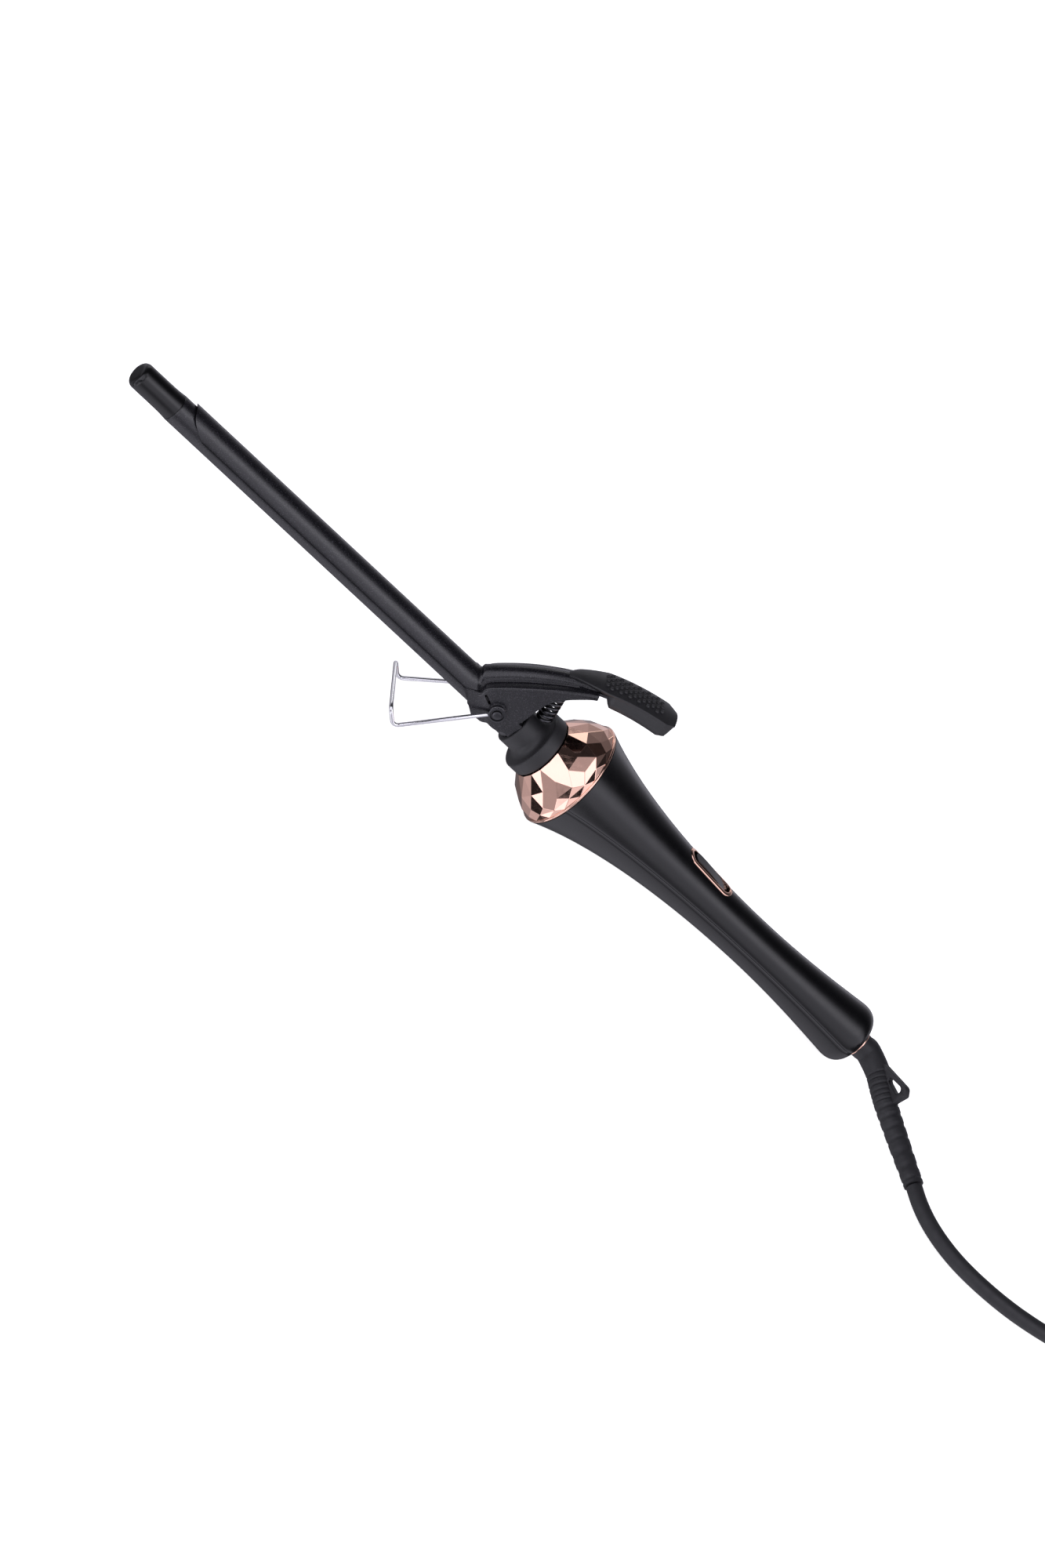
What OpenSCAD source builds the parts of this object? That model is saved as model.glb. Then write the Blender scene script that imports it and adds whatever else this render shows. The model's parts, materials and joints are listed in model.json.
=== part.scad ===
// Slim curling iron: barrel with a sprung clamp, a wire rest, a flared handle and a mains lead.
// Built along its own axis (x = 0 at the handle's rim, tip towards -X), then laid down on its rest.

/* [Barrel] */
// Outer diameter of the heated barrel
barrel_d = 10; // [9:0.5:11]
// Distance from the handle's rim to the barrel's open end
barrel_reach = 187.4; // [150:0.2:200]
// Length of the cool tip beyond the barrel
tip_len = 17.6; // [14:0.2:20]

/* [Clamp] */
// Thickness of the clamp's pressed sheet
sheet = 0.7; // [0.6:0.05:0.9]
// Play between barrel and clamp
clamp_play = 0.15; // [0.1:0.05:0.3]
// Distance from the rim to the clamp's front end
clamp_reach = 181.7; // [145:0.1:182]

/* [Pivot] */
// Distance of the pivot in front of the rim
pivot_back = 36.7; // [36:0.1:37.5]
// Height of the pivot above the barrel's axis
pivot_up = 2.5; // [2:0.1:3]
// Radius of the rivet's shank
rivet_r = 1.2; // [1:0.05:1.3]

/* [Handle] */
// Radius of the handle at its rim
rim_r = 19.6; // [18:0.1:20]
// Radius of the handle at its waist
waist_r = 8.1; // [7.8:0.1:9]
// Radius of the handle near its rear end
rear_r = 10.5; // [10:0.1:11]
// Wall of the two handle shells
wall = 1.6; // [1.4:0.1:1.8]

/* [Rest] */
// Diameter of the rest's wire
wire_d = 1.4; // [1.2:0.1:1.4]
// Half the spread of the rest's two feet
foot_y = 13; // [12:0.5:15]

/* [Cord] */
// Diameter of the mains lead
cord_d = 5.4; // [5:0.1:6]
// Radius of the coil at the middle of its turns
coil_r = 28.4; // [28:0.1:30]

/* [Hidden] */
$fn = 64;

black = [0.13, 0.13, 0.14];
graphite = [0.25, 0.25, 0.28];
rose = [0.85, 0.62, 0.52];
steel = [0.8, 0.8, 0.82];
brass = [0.78, 0.62, 0.3];
ceramic = [0.9, 0.88, 0.82];

seam = 0.04;                 // half the joint line between the two handle shells
barrel_r = barrel_d / 2;
barrel_wall = 0.7;
bore_r = barrel_r - barrel_wall;
barrel_tail = 8;             // how far the barrel runs on into the handle
trough_in = barrel_r + clamp_play;
trough_out = trough_in + sheet;
pivot = [-pivot_back, 0, pivot_up];

// Places across the width at the pivot, from the bracket out to the rivet's head
bracket_face = 6.1;
ear_in = 6.4;
ear_t = 0.8;
ear_out = ear_in + ear_t;
eye_y = ear_out + 0.1 + wire_d / 2;
head_in = eye_y + wire_d / 2 + 0.05;
eye_r = rivet_r + 0.05 + wire_d / 2;

// Handle outline: three cubic curves, from rim to waist, waist to rear, and the rounded rear end
waist_x = 87;
rear_x = 130;
end_x = 136.6;
end_r = 5.8;
shell_x = 0.4;               // front face of the shells, behind the rim ring
front_curve = [[shell_x, rim_r], [21, 12], [52, waist_r], [waist_x, waist_r]];
rear_curve = [[waist_x, waist_r], [104, waist_r], [118, 9.4], [rear_x, rear_r]];
end_curve = [[rear_x, rear_r], [133, 10.7], [135.9, 8.8], [end_x, end_r]];

function bezier(c, t) = pow(1 - t, 3) * c[0] + 3 * t * pow(1 - t, 2) * c[1]
    + 3 * t * t * (1 - t) * c[2] + t * t * t * c[3];
function bezier_slope(c, t) = pow(1 - t, 2) * (c[1] - c[0]) + 2 * t * (1 - t) * (c[2] - c[1])
    + t * t * (c[3] - c[2]);
function walk(c, n, first = 0) = [for (i = [first:n]) bezier(c, i / n)];
outline = concat(walk(front_curve, 14), walk(rear_curve, 8, 1), walk(end_curve, 7, 1));
// The outline moved outwards by d, kept clear of the axis
function moved(d) = [for (p = outline) [p[0], max(p[1] + d, end_r - wall)]];

// Rest: legs run down from the pivot, turn up at the feet and are joined by a crossbar
foot = [-57, 0, -23.7];
bar = [-62.5, 0, -19.4];
// Slope of the iron on its rest, and the shift that puts it on the surface, centred
lie = atan((wire_d / 2 - rear_r - foot[2]) / (rear_x - foot[0]));
axis_up = max([for (p = outline) p[0] * sin(lie) + p[1] * cos(lie)]);
tip_x = -barrel_reach - tip_len;
ring_end = end_x + 0.6;
mid_x = ((tip_x + ring_end) * cos(lie) + 4.7 * sin(lie)) / 2;
module laid() translate([-mid_x, 0, axis_up]) rotate([0, lie, 0]) children();
function laid_point(p) = [p[0] * cos(lie) + p[2] * sin(lie) - mid_x, p[1],
    -p[0] * sin(lie) + p[2] * cos(lie) + axis_up];

// Switch on the top of the handle
switch_x = 57.5;
switch_len = 21;
switch_w = 7;
bezel_w = 1.2;
rock_z = 4.6;
rock_off = 8;                // slope of the rocker when off, its rear end pressed in

// Swivel of the lead
swivel_r = 4.4;
clip_x = 128.5;
clip_r = 6.4;

// Route of the boot and the lead, on the surface that the iron stands on
cord_r = cord_d / 2;
boot_x = [126, 143];          // the boot's straight part, in the swivel and just behind it
boot_mouth = laid_point([boot_x[1], 0, 0]);
boot_route = [boot_mouth, [181.5, -4.6, 8.7], [185, -10.3, 7.6], [188.5, -15.5, 6.6], [196, -25.5, 5],
    [204.6, -38.8, 3.9]];
boot_end_r = 3.3;
lead_route = [[204.9, -39.3, 3.8], [208.5, -44.8, 3.2], [213.5, -50.2, 2.8], [220.5, -55.2, 2.7],
    [229, -58.6, 2.7], [240, -60.3, 2.7], [252, -60.3, 2.7], [265, -58.3, 2.7], [278, -54.9, 2.8],
    [290, -51, 3.1], [301, -47.7, 3.5], [312, -46.2, 3.7]];
coil_at = [312, -12, 1];
coil_half = 1.5 * cord_d;    // three turns across and three high
tail_route = [[312, -46.2, 14.5], [324, -45.8, 14], [337, -41, 12.4], [347, -32, 10.2],
    [352.5, -20.5, 8.2], [354, -9, 7], [354, 2, 6.9], [354, 14, 6.9]];
plug_at = [354, 14, 6.9];

function unit(v) = v / norm(v);
function tangent(p, i) = unit(p[min(i + 1, len(p) - 1)] - p[max(i - 1, 0)]);
function square_to(n, t) = unit(n - t * (n * t));
function normals(p, n, i = 0, got = []) = i == len(p) ? got
    : let (next = square_to(n, tangent(p, i))) normals(p, next, i + 1, concat(got, [next]));
// Smooth line through hand-picked points (Catmull-Rom), n steps to each stretch
function knot(p, i) = p[max(0, min(i, len(p) - 1))];
function between(a, b, c, d, t) = 0.5 * (2 * b + t * (c - a) + t * t * (2 * a - 5 * b + 4 * c - d)
    + t * t * t * (3 * b - a - 3 * c + d));
function smooth(p, n) = [for (i = [0:len(p) - 2]) for (k = [0:n - 1])
    between(knot(p, i - 1), p[i], p[i + 1], knot(p, i + 2), k / n), p[len(p) - 1]];
// A bend of radius about r in place of each inner corner of a line
function rounded(p, r) = concat([p[0]], [for (i = [1:len(p) - 2])
    let (a = p[i] + r * unit(p[i - 1] - p[i]), b = p[i] + r * unit(p[i + 1] - p[i]))
    for (t = [0:0.25:1]) (1 - t) * (1 - t) * a + 2 * t * (1 - t) * p[i] + t * t * b],
    [p[len(p) - 1]]);
function reverse(v) = [for (i = [len(v) - 1:-1:0]) v[i]];

// Rings of points joined into one closed solid. A ring that folds back along itself, as the section
// of a pressed sheet does, has its ends closed by a strip of quads between its two sides
module skin(rings, folded = false) {
    n = len(rings[0]);
    last = len(rings) - 1;
    strip = [for (k = [0:n / 2 - 2]) [k, k + 1, n - 2 - k, n - 1 - k]];
    start = folded ? strip : [[for (k = [0:n - 1]) k]];
    end = [for (face = start) [for (k = reverse(face)) last * n + k]];
    sides = [for (i = [0:last - 1]) for (k = [0:n - 1])
        let (a = i * n, b = i * n + n, next = (k + 1) % n)
        each [[a + k, b + k, b + next], [a + k, b + next, a + next]]];
    polyhedron(points = [for (ring = rings) for (p = ring) p], faces = concat(start, end, sides),
        convexity = 8);
}

// Round tube along a line, its radius running from r1 to r2
module tube(line, r1, r2, sides = 12) {
    across = normals(line, [0.01, 0.02, 1]);
    last = len(line) - 1;
    skin([for (i = [0:last]) let (t = tangent(line, i), n = across[i], b = cross(t, n),
            r = r1 + (r2 - r1) * i / last)
        [for (k = [0:sides - 1]) line[i] + r * (cos(k * 360 / sides) * n + sin(k * 360 / sides) * b)]]);
}

// Solid of revolution about the X axis from an outline of [x, radius] points
module turned(points) rotate([0, 90, 0]) rotate_extrude()
    polygon([for (p = points) [p[1], p[0]]]);
// The half of it that lies above (side = 1) or below (side = -1) the joint line
module turned_half(points, side) rotate([0, 90, 0]) rotate([0, 0, side * 90])
    rotate_extrude(angle = 180) polygon([for (p = points) [p[1], p[0]]]);
module rod(x1, x2, r) translate([x1, 0, 0]) rotate([0, 90, 0]) cylinder(h = x2 - x1, r = r);
module pin_y(y1, y2, r) translate([0, y2, 0]) rotate([90, 0, 0]) cylinder(h = y2 - y1, r = r);
module stadium(length, width) union() {
    square([length - width, width], center = true);
    for (s = [-1, 1]) translate([s * (length - width) / 2, 0]) circle(d = width);
}

// ---- Barrel and heater ----

module barrel_tube() color(graphite) laid() difference() {
    rod(-barrel_reach, barrel_tail, barrel_r);
    rod(-barrel_reach - 1, barrel_tail + 1, bore_r);
}

tip_r = 4.7;
module tip_cap() color(black) laid()
    turned([[tip_x, 0], [tip_x, 2.5], [tip_x + 0.3, 3.5], [tip_x + 1.1, 4.3], [tip_x + 2.4, tip_r],
        [-barrel_reach, tip_r], [-barrel_reach, bore_r], [-barrel_reach + 6, bore_r],
        [-barrel_reach + 6, 0]]);

heater_half = 0.6;
module heater_element() color(ceramic) laid()
    translate([-176, -3, -heater_half]) cube([110, 6, 2 * heater_half]);

module heat_spreader() color(steel) laid() for (s = [-1, 1]) intersection() {
    rod(-178, -64, bore_r - 0.05);
    translate([-180, -6, s > 0 ? heater_half : -6 - heater_half]) cube([120, 12, 6]);
}

module thermal_fuse() color(ceramic) laid() translate([0, 0, 1.6]) {
    rod(-58, -46, 1.5);
    rod(-63, -58, 0.4);
    rod(-46, -40, 0.4);
}

// ---- Pivot ----

// Saddle round the barrel with a flat boss on each side for the rivets
module hinge_bracket() color(graphite) laid() difference() {
    union() {
        rod(-42.5, -26.7, 5.8);
        translate(pivot) pin_y(-bracket_face, bracket_face, 3);
        translate([-pivot_back, -bracket_face, -2]) cube([10, 2 * bracket_face, 6]);
    }
    rod(-50, 0, barrel_r);
    translate(pivot) pin_y(-8, 8, rivet_r);
}

rivet_head_r = 2.2;
rivet_head_t = 0.7;
module pivot_rivets() color(black) laid() translate(pivot)
    for (s = [-1, 1]) mirror([0, (1 - s) / 2, 0]) {
        pin_y(5.1, head_in, rivet_r);
        pin_y(head_in, head_in + rivet_head_t, rivet_head_r);
    }

// ---- Neck, dome and rim ----

flange_r = 11.3;
neck_r = 7.1;
tail_r = 6;
module neck_collar() color(black) laid() difference() {
    union() {
        turned([[-26.6, 0], [-26.6, neck_r - 0.6], [-26, neck_r], [-20.4, neck_r], [-19.6, 7.6],
            [-19, 9.6], [-18, 10.9], [-17, flange_r], [-14, flange_r], [-13.2, 10.9], [-13.2, tail_r],
            [6, tail_r], [6, 10], [8, 10], [8, tail_r], [10, tail_r], [10, 0]]);
        translate(spring_from) rotate([0, spring_lean, 0]) translate([0, 0, -2.6])
            cylinder(h = 3.4, r = 1.6);
    }
    rod(-30, barrel_tail, barrel_r);
    rod(-30, 12, bore_r);
}

facets = 14;
dome_rings = [[-13.2, 11.4], [-9.2, 15.5], [-4.6, 18.4], [-0.8, rim_r]];
rows = len(dome_rings);
// Corner k of ring i, every other ring turned by half a facet
function corner(i, k) = let (a = (k + (i % 2) / 2) * 360 / facets)
    [dome_rings[i][0], dome_rings[i][1] * cos(a), dome_rings[i][1] * sin(a)];
// The four corners' numbers round the pair of triangles at ring i, place k
function quad(i, k) = let (a = i * facets + k, b = i * facets + (k + 1) % facets)
    [a, b, a + facets, b + facets];
module faceted_dome() color(rose) laid() difference() {
    polyhedron(points = [for (i = [0:rows - 1]) for (k = [0:facets - 1]) corner(i, k)],
        faces = concat([[for (k = [0:facets - 1]) k]],
            [[for (k = [facets - 1:-1:0]) (rows - 1) * facets + k]],
            [for (i = [0:rows - 2]) for (k = [0:facets - 1]) let (q = quad(i, k))
                i % 2 == 0 ? [q[0], q[2], q[1]] : [q[0], q[3], q[1]]],
            [for (i = [0:rows - 2]) for (k = [0:facets - 1]) let (q = quad(i, k))
                i % 2 == 0 ? [q[1], q[2], q[3]] : [q[0], q[2], q[3]]]));
    rod(-20, 2, tail_r);
    turned([[-7, 0], [-7, 11], [-4.4, 14.5], [0, 16.6], [0, 0]]);
}

module rim_ring() color(rose) laid() difference() {
    turned([[-0.8, 0], [-0.8, rim_r - 0.1], [-0.5, rim_r + 0.15], [0.1, rim_r + 0.15],
        [shell_x, rim_r], [shell_x, 0]]);
    rod(-2, 2, 16.6);
}

// ---- Handle ----

screw_xs = [30, 118];
boss_r = 2.3;
screw_r = 0.9;
// Closed outline of the wall, from the outer line back along the inner one
function wall_loop() = concat(outline, reverse(moved(-wall)));
// Half of a ring inside the shell, which holds a part of the neck or the swivel in place
module rib(x, r1, r2, side) turned_half([[x, r1], [x, r2], [x + 1.2, r2], [x + 1.2, r1]], side);
module half_shell(side) intersection() {
    union() {
        difference() {
            turned_half(wall_loop(), side);
            rod(134, 140, 5.75);
        }
        for (x = screw_xs) intersection() {
            turned(concat([[shell_x, 0]], moved(-wall / 2), [[end_x, 0]]));
            translate([x, 0, side < 0 ? -20 : 0]) cylinder(h = 20, r = boss_r);
        }
        for (x = [4.6, 8.2]) rib(x, tail_r + 0.1, 16.6, side);
        rib(124.4, 4.8, 8.6, side);
    }
    translate([-5, -25, side > 0 ? seam : -25 - seam]) cube([160, 50, 25]);
}

module handle_upper_shell() color(black) laid() difference() {
    half_shell(1);
    translate([switch_x, 0, 4]) linear_extrude(12) stadium(switch_len + 0.1, switch_w + 0.1);
    for (x = screw_xs) translate([x, 0, -1]) cylinder(h = 6, r = screw_r);
}

head_seat = 3.4;             // how deep below the joint line the screw heads sit
module handle_lower_shell() color(black) laid() difference() {
    half_shell(-1);
    for (x = screw_xs) translate([x, 0, -21]) {
        cylinder(h = 22, r = screw_r);
        cylinder(h = 21 - head_seat, r = 1.7);
    }
}

module shell_screws() color(steel) laid() for (x = screw_xs) translate([x, 0, -head_seat]) {
    cylinder(h = head_seat + 4.5, r = screw_r);
    translate([0, 0, -1.2]) cylinder(h = 1.2, r = 1.65);
}

// ---- Switch ----

module switch_bezel() color(rose) laid() intersection() {
    difference() {
        turned(concat([[shell_x, 0]], moved(0.35), [[end_x, 0]]));
        turned(concat([[shell_x, 0]], moved(-wall), [[end_x, 0]]));
    }
    translate([switch_x, 0, 4]) linear_extrude(12) difference() {
        stadium(switch_len, switch_w);
        stadium(switch_len - 2 * bezel_w, switch_w - 2 * bezel_w);
    }
}

module switch_body() color(black) laid() translate([switch_x, 0, 0]) difference() {
    translate([-10.4, -3.6, -0.4]) cube([20.8, 7.2, 6.2]);
    translate([-9.6, -2.5, 1.6]) cube([19.2, 5, 8]);
    translate([0, 0, rock_z]) pin_y(-5, 5, 0.75);
}

rocker_len = 17.2;
rocker_w = 4.1;
module switch_rocker() color(black) laid() translate([switch_x, 0, rock_z]) rotate([0, rock_off, 0]) {
    intersection() {
        translate([0, 0, -1.4]) linear_extrude(8) stadium(rocker_len, rocker_w);
        translate([0, 4, -70.6]) rotate([90, 0, 0]) cylinder(h = 8, r = 75.4, $fn = 200);
    }
    pin_y(-3.5, 3.5, 0.7);
}

// ---- Inside the handle ----

module circuit_board() color("darkgreen") laid() translate([72, -5.1, -3.2]) cube([40, 10.2, 1.2]);

module board_components() color("dimgray") laid() {
    translate([80, -2.4, -2]) cube([9, 4.8, 5.4]);
    translate([95, 0, -2]) cylinder(h = 5, r = 2.2);
    translate([101, -2.5, -2]) cube([6, 5, 3.2]);
    translate([75, -1.5, -2]) cube([3, 3, 1]);
}

module heater_leads() color("firebrick") laid() for (s = [-1, 1])
    translate([0, s * 3.15, -1.2]) rod(-63, 78, 0.45);

module mains_leads() color("saddlebrown") laid() for (s = [-1, 1])
    translate([0, s * 3.4, -1.2]) rod(108, 124, 0.6);

// ---- Clamp ----

// Top line of the lever, from the bend behind the trough to the end of the thumb pad
lever_curve = [[-50.5, 6], [-40, 20], [-24, 36], [5.6, 39.8]];
function lever_at(t) = let (p = bezier(lever_curve, t), v = unit(bezier_slope(lever_curve, t)))
    [[p[0], 0, p[1]], [-v[1], 0, v[0]]];
// Ring across the lever at t: sideways places and heights above its top line
function across_lever(t, shape) = let (f = lever_at(t))
    [for (q = shape) f[0] - [0, q[0], 0] + q[1] * f[1]];
ridge_end = 0.56;
// Half-round ridge on flat shoulders with a turned-down edge, all of one sheet
function ridge_half(t) = 4.6 - 1.4 * t / ridge_end;
function ridge_high(t) = 3.6 - 2.4 * pow(t / ridge_end, 2);
function shoulder(t) = ear_out - 2.2 * pow(t / ridge_end, 3);
function skirt(t) = 4.2 - 2.8 * t / ridge_end;
function ridge_arc(t, d) = [for (a = [0:18:180])
    [-(ridge_half(t) - d) * cos(a), -ridge_high(t) - d + ridge_high(t) * sin(a)]];
function pressed_section(t) = let (w = shoulder(t), h = ridge_high(t), s = skirt(t), in = w - ear_t)
    concat([[-w, -h - s], [-w, -h - 0.3], [-w + 0.3, -h]], ridge_arc(t, 0),
        [[w - 0.3, -h], [w, -h - 0.3], [w, -h - s]],
        [[in, -h - s], [in, -h - sheet - 0.3], [in - 0.3, -h - sheet]], reverse(ridge_arc(t, sheet)),
        [[0.3 - in, -h - sheet], [-in, -h - sheet - 0.3], [-in, -h - s]]);
// The same section filled and grown by p: the room that the thumb pad's nose leaves for the lever
function lever_room(t, p) = let (w = shoulder(t) + p, h = ridge_high(t))
    concat([[-w, -9], [-w, -h + p]], ridge_arc(t, -p), [[w, -h + p], [w, -9]]);

tongue_top = -1.9;
tongue_t = 1;
tongue_w = 7;
module tongue(play) {
    w = tongue_w / 2 + play;
    top = tongue_top + play;
    under = tongue_top - tongue_t - play;
    skin([for (t = [0.5:0.05:0.95]) across_lever(t, [[-w, top], [w, top], [w, under], [-w, under]])]);
}

ear_outline = [[-50, 4.4], [-45, 0.6], [-39.5, -3.2], [-34.5, -3.2], [-30.5, 0], [-28.9, 3], [-29, 6.5],
    [-30.5, 10], [-28.6, 13.4], [-23.5, 18.5], [-25, 22], [-33, 19.2], [-42, 11.5], [-47.5, 5.5]];
module ears() for (s = [-1, 1]) translate([0, s > 0 ? ear_out : -ear_in, 0]) rotate([90, 0, 0])
    linear_extrude(ear_t) polygon(ear_outline);

trough_end = -47.5;
front_slant = 30;            // the trough's front end is cut back towards its lower edges
module clamp_lever() color(graphite) laid() difference() {
    union() {
        difference() {
            turned_half([[-clamp_reach, trough_in], [-clamp_reach, trough_out],
                [trough_end, trough_out], [trough_end, trough_in]], 1);
            translate([-clamp_reach, 0, 0]) rotate([0, -front_slant, 0]) translate([-10, -8, -2])
                cube([10, 16, 20]);
        }
        skin([for (i = [0:10]) across_lever(ridge_end * i / 10, pressed_section(ridge_end * i / 10))], true);
        tongue(0);
        ears();
    }
    translate(pivot) pin_y(-9, 9, rivet_r + 0.05);
    pad_screw_shapes(pad_screw_r + 0.05, 0);
}

// Spring between a stud on the neck and the lever's underside
spring_from = [-21.8, 0, 8.6];
spring_to = [-26.6, 0, 20.4];
spring_lean = -atan((spring_from[0] - spring_to[0]) / (spring_to[2] - spring_from[2]));
spring_len = norm(spring_to - spring_from);
spring_r = 2.5;
spring_wire_r = 0.4;
coils = 6;
steps = coils * 12;
module clamp_spring() color(steel) laid() translate(spring_from) rotate([0, spring_lean, 0])
    tube([for (i = [0:steps]) [spring_r * cos(i * 30), spring_r * sin(i * 30),
        0.5 + (spring_len - 1) * i / steps]], spring_wire_r, spring_wire_r, 6);

// Thumb pad: a crowned moulding over the tongue
pad_from = 0.5;
function pad_half(u) = 4.9 * pow(1 - pow(abs(2 * u - 1), 8), 0.35) + 1.2;
function pad_deep(u) = 2.9 + 4.1 * pow(u, 0.55);
pad_top = 1.5;
function pad_section(u) = let (w = pad_half(u), under = pad_top - pad_deep(u), c = 0.8)
    [[-w + c, pad_top], [0, pad_top + 0.4], [w - c, pad_top], [w, pad_top - c], [w - 0.2, under + c],
    [w - 1, under], [-w + 1, under], [-w + 0.2, under + c], [-w, pad_top - c]];
module thumb_pad() color(black) laid() difference() {
    skin([for (i = [0:20]) across_lever(pad_from + (1 - pad_from) * i / 20, pad_section(i / 20))]);
    skin([for (t = [0.47, 0.5, 0.53, ridge_end + 0.006]) across_lever(t, lever_room(t, 0.15))]);
    tongue(0.1);
    pad_screw_shapes(pad_screw_r, 1.8);
}

// Screws that hold the pad, put in from below: places along the lever and the shank's radius
pad_screw_ts = [0.72, 0.88];
pad_screw_r = 0.8;
module at_pad_screws() for (t = pad_screw_ts) {
    f = lever_at(t);
    v = bezier_slope(lever_curve, t);
    translate(f[0] + (tongue_top - tongue_t) * f[1]) rotate([0, -atan(v[1] / v[0]), 0]) children();
}
module pad_screw_shapes(shank, recess) at_pad_screws() {
    translate([0, 0, -0.2]) cylinder(h = 3.6, r = shank);
    if (recess > 0) translate([0, 0, -8]) cylinder(h = 8, r = recess);
}
module pad_screws() color(steel) laid() at_pad_screws() {
    translate([0, 0, -0.5]) cylinder(h = 3.7, r = pad_screw_r);
    translate([0, 0, -1.05]) cylinder(h = 0.9, r = 1.6);
}

// ---- Rest ----

foot_dir = unit(foot - pivot);
leg_top = pivot + eye_r * foot_dir - [0, eye_y, 0];
module stand_wire() color(steel) laid() {
    corner = [foot[0], -foot_y, foot[2]];
    bar_end = [bar[0], -foot_y, bar[2]];
    half = rounded([leg_top, corner, bar_end, [bar[0], 0, bar[2]]], 2.4);
    other = [for (i = [len(half) - 2:-1:0]) [half[i][0], -half[i][1], half[i][2]]];
    tube(concat(half, other), wire_d / 2, wire_d / 2, 12);
    for (s = [-1, 1]) translate([pivot[0], s * eye_y, pivot[2]]) rotate([90, 0, 0])
        rotate_extrude() translate([eye_r, 0]) circle(d = wire_d);
}

// ---- Swivel and boot ----

socket_x = [125.7, 134];
module swivel_socket() color(black) laid() turned([[socket_x[0], swivel_r + 0.05], [socket_x[0], 7.2],
    [socket_x[1], 7.2], [socket_x[1], swivel_r + 0.05], [clip_x + 1.8, swivel_r + 0.05],
    [clip_x + 1.8, clip_r + 0.3], [clip_x - 0.5, clip_r + 0.3], [clip_x - 0.5, swivel_r + 0.05]]);

module end_ring() color(rose) laid() turned([[socket_x[1] + 0.1, swivel_r + 0.15],
    [socket_x[1] + 0.1, 5.7], [end_x - 0.2, 5.7], [ring_end - 0.2, 5.5], [ring_end, 5.1],
    [ring_end, swivel_r + 0.15]]);

module swivel_clip() color(brass) laid() difference() {
    rod(clip_x, clip_x + 1.4, clip_r);
    rod(clip_x - 1, clip_x + 3, swivel_r - 0.7);
}

boot_line = smooth(boot_route, 5);
// Fin with the hanging eye, standing on the boot just behind its bend
fin_at = boot_route[2];
fin_t = 2.4;
fin_turn = atan2(boot_route[3][1] - boot_route[1][1], boot_route[3][0] - boot_route[1][0]);
module cord_boot() color(black) {
    laid() difference() {
        rod(boot_x[0], boot_x[1], swivel_r);
        translate([clip_x, 0, 0]) rotate([0, 90, 0]) difference() {
            cylinder(h = 1.4, r = 6);
            cylinder(h = 1.4, r = swivel_r - 0.7);
        }
    }
    tube(boot_line, swivel_r - 0.05, boot_end_r, 16);
    translate(fin_at) rotate([0, 0, fin_turn]) translate([0, fin_t / 2, 0]) rotate([90, 0, 0])
        linear_extrude(fin_t) difference() {
            hull() {
                translate([-9.3, 3.4]) circle(r = 0.9, $fn = 32);
                translate([-4, 0.5]) circle(r = 0.8, $fn = 32);
                translate([5.2, 7.1]) circle(r = 2, $fn = 32);
                translate([7, 7.2]) circle(r = 0.8, $fn = 32);
                translate([6.2, 1.5]) circle(r = 0.7, $fn = 32);
            }
            hull() {
                translate([-0.4, 5]) circle(r = 0.75, $fn = 32);
                translate([3.9, 6]) circle(r = 1.35, $fn = 32);
            }
        }
}

// ---- Lead, coil, tie and plug ----

module cord_lead() color(black) tube(smooth(lead_route, 2), cord_r, cord_r, 10);

module cord_coil() color(black) translate(coil_at) rotate_extrude() translate([coil_r, coil_half])
    intersection() {
        square(2 * coil_half, center = true);
        circle(r = 1.28 * coil_half);
    }

tie_t = 0.9;
tie_w = 9;
tie_at = 150;                // direction of the tie from the coil's centre
module cord_tie() color(graphite) translate(coil_at) rotate([0, 0, tie_at])
    translate([coil_r, tie_w / 2, coil_half]) rotate([90, 0, 0]) linear_extrude(tie_w) difference() {
        square(2 * (coil_half + tie_t), center = true);
        square(2 * coil_half, center = true);
    }

module cord_tail() color(black) tube(smooth(tail_route, 2), cord_r, cord_r, 10);

plug_len = 35;
plug_w = 34;
plug_t = 13.6;
module plug_body() color(black) translate(plug_at) difference() {
    union() {
        translate([0, 7.5, 0]) rotate([90, 0, 0]) cylinder(h = 7.5, r1 = 5.2, r2 = 3.8);
        translate([0, 0, -plug_t / 2]) linear_extrude(plug_t) polygon([[-5.6, 7], [5.6, 7],
            [plug_w / 2 - 3, 17], [plug_w / 2, 21], [plug_w / 2, plug_len], [-plug_w / 2, plug_len],
            [-plug_w / 2, 21], [3 - plug_w / 2, 17]]);
    }
    for (s = [-1, 1]) translate([s * pin_gap / 2, 0, 0]) pin_y(plug_len - 8, plug_len + 1, pin_root_r);
}

pin_gap = 18.6;
pin_r = 2;
pin_root_r = 1.6;            // the part of a pin that is moulded in
pin_len = 19;
module plug_pins() color(brass) translate(plug_at) for (s = [-1, 1])
    translate([s * pin_gap / 2, 0, 0]) {
        pin_y(plug_len - 8, plug_len + 0.5, pin_root_r);
        pin_y(plug_len, plug_len + pin_len, pin_r);
    }

barrel_tube();
tip_cap();
heater_element();
heat_spreader();
thermal_fuse();
hinge_bracket();
pivot_rivets();
neck_collar();
faceted_dome();
rim_ring();
handle_upper_shell();
handle_lower_shell();
shell_screws();
switch_bezel();
switch_body();
switch_rocker();
circuit_board();
board_components();
heater_leads();
mains_leads();
clamp_lever();
clamp_spring();
thumb_pad();
pad_screws();
stand_wire();
swivel_socket();
end_ring();
swivel_clip();
cord_boot();
cord_lead();
cord_coil();
cord_tie();
cord_tail();
plug_body();
plug_pins();
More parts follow.
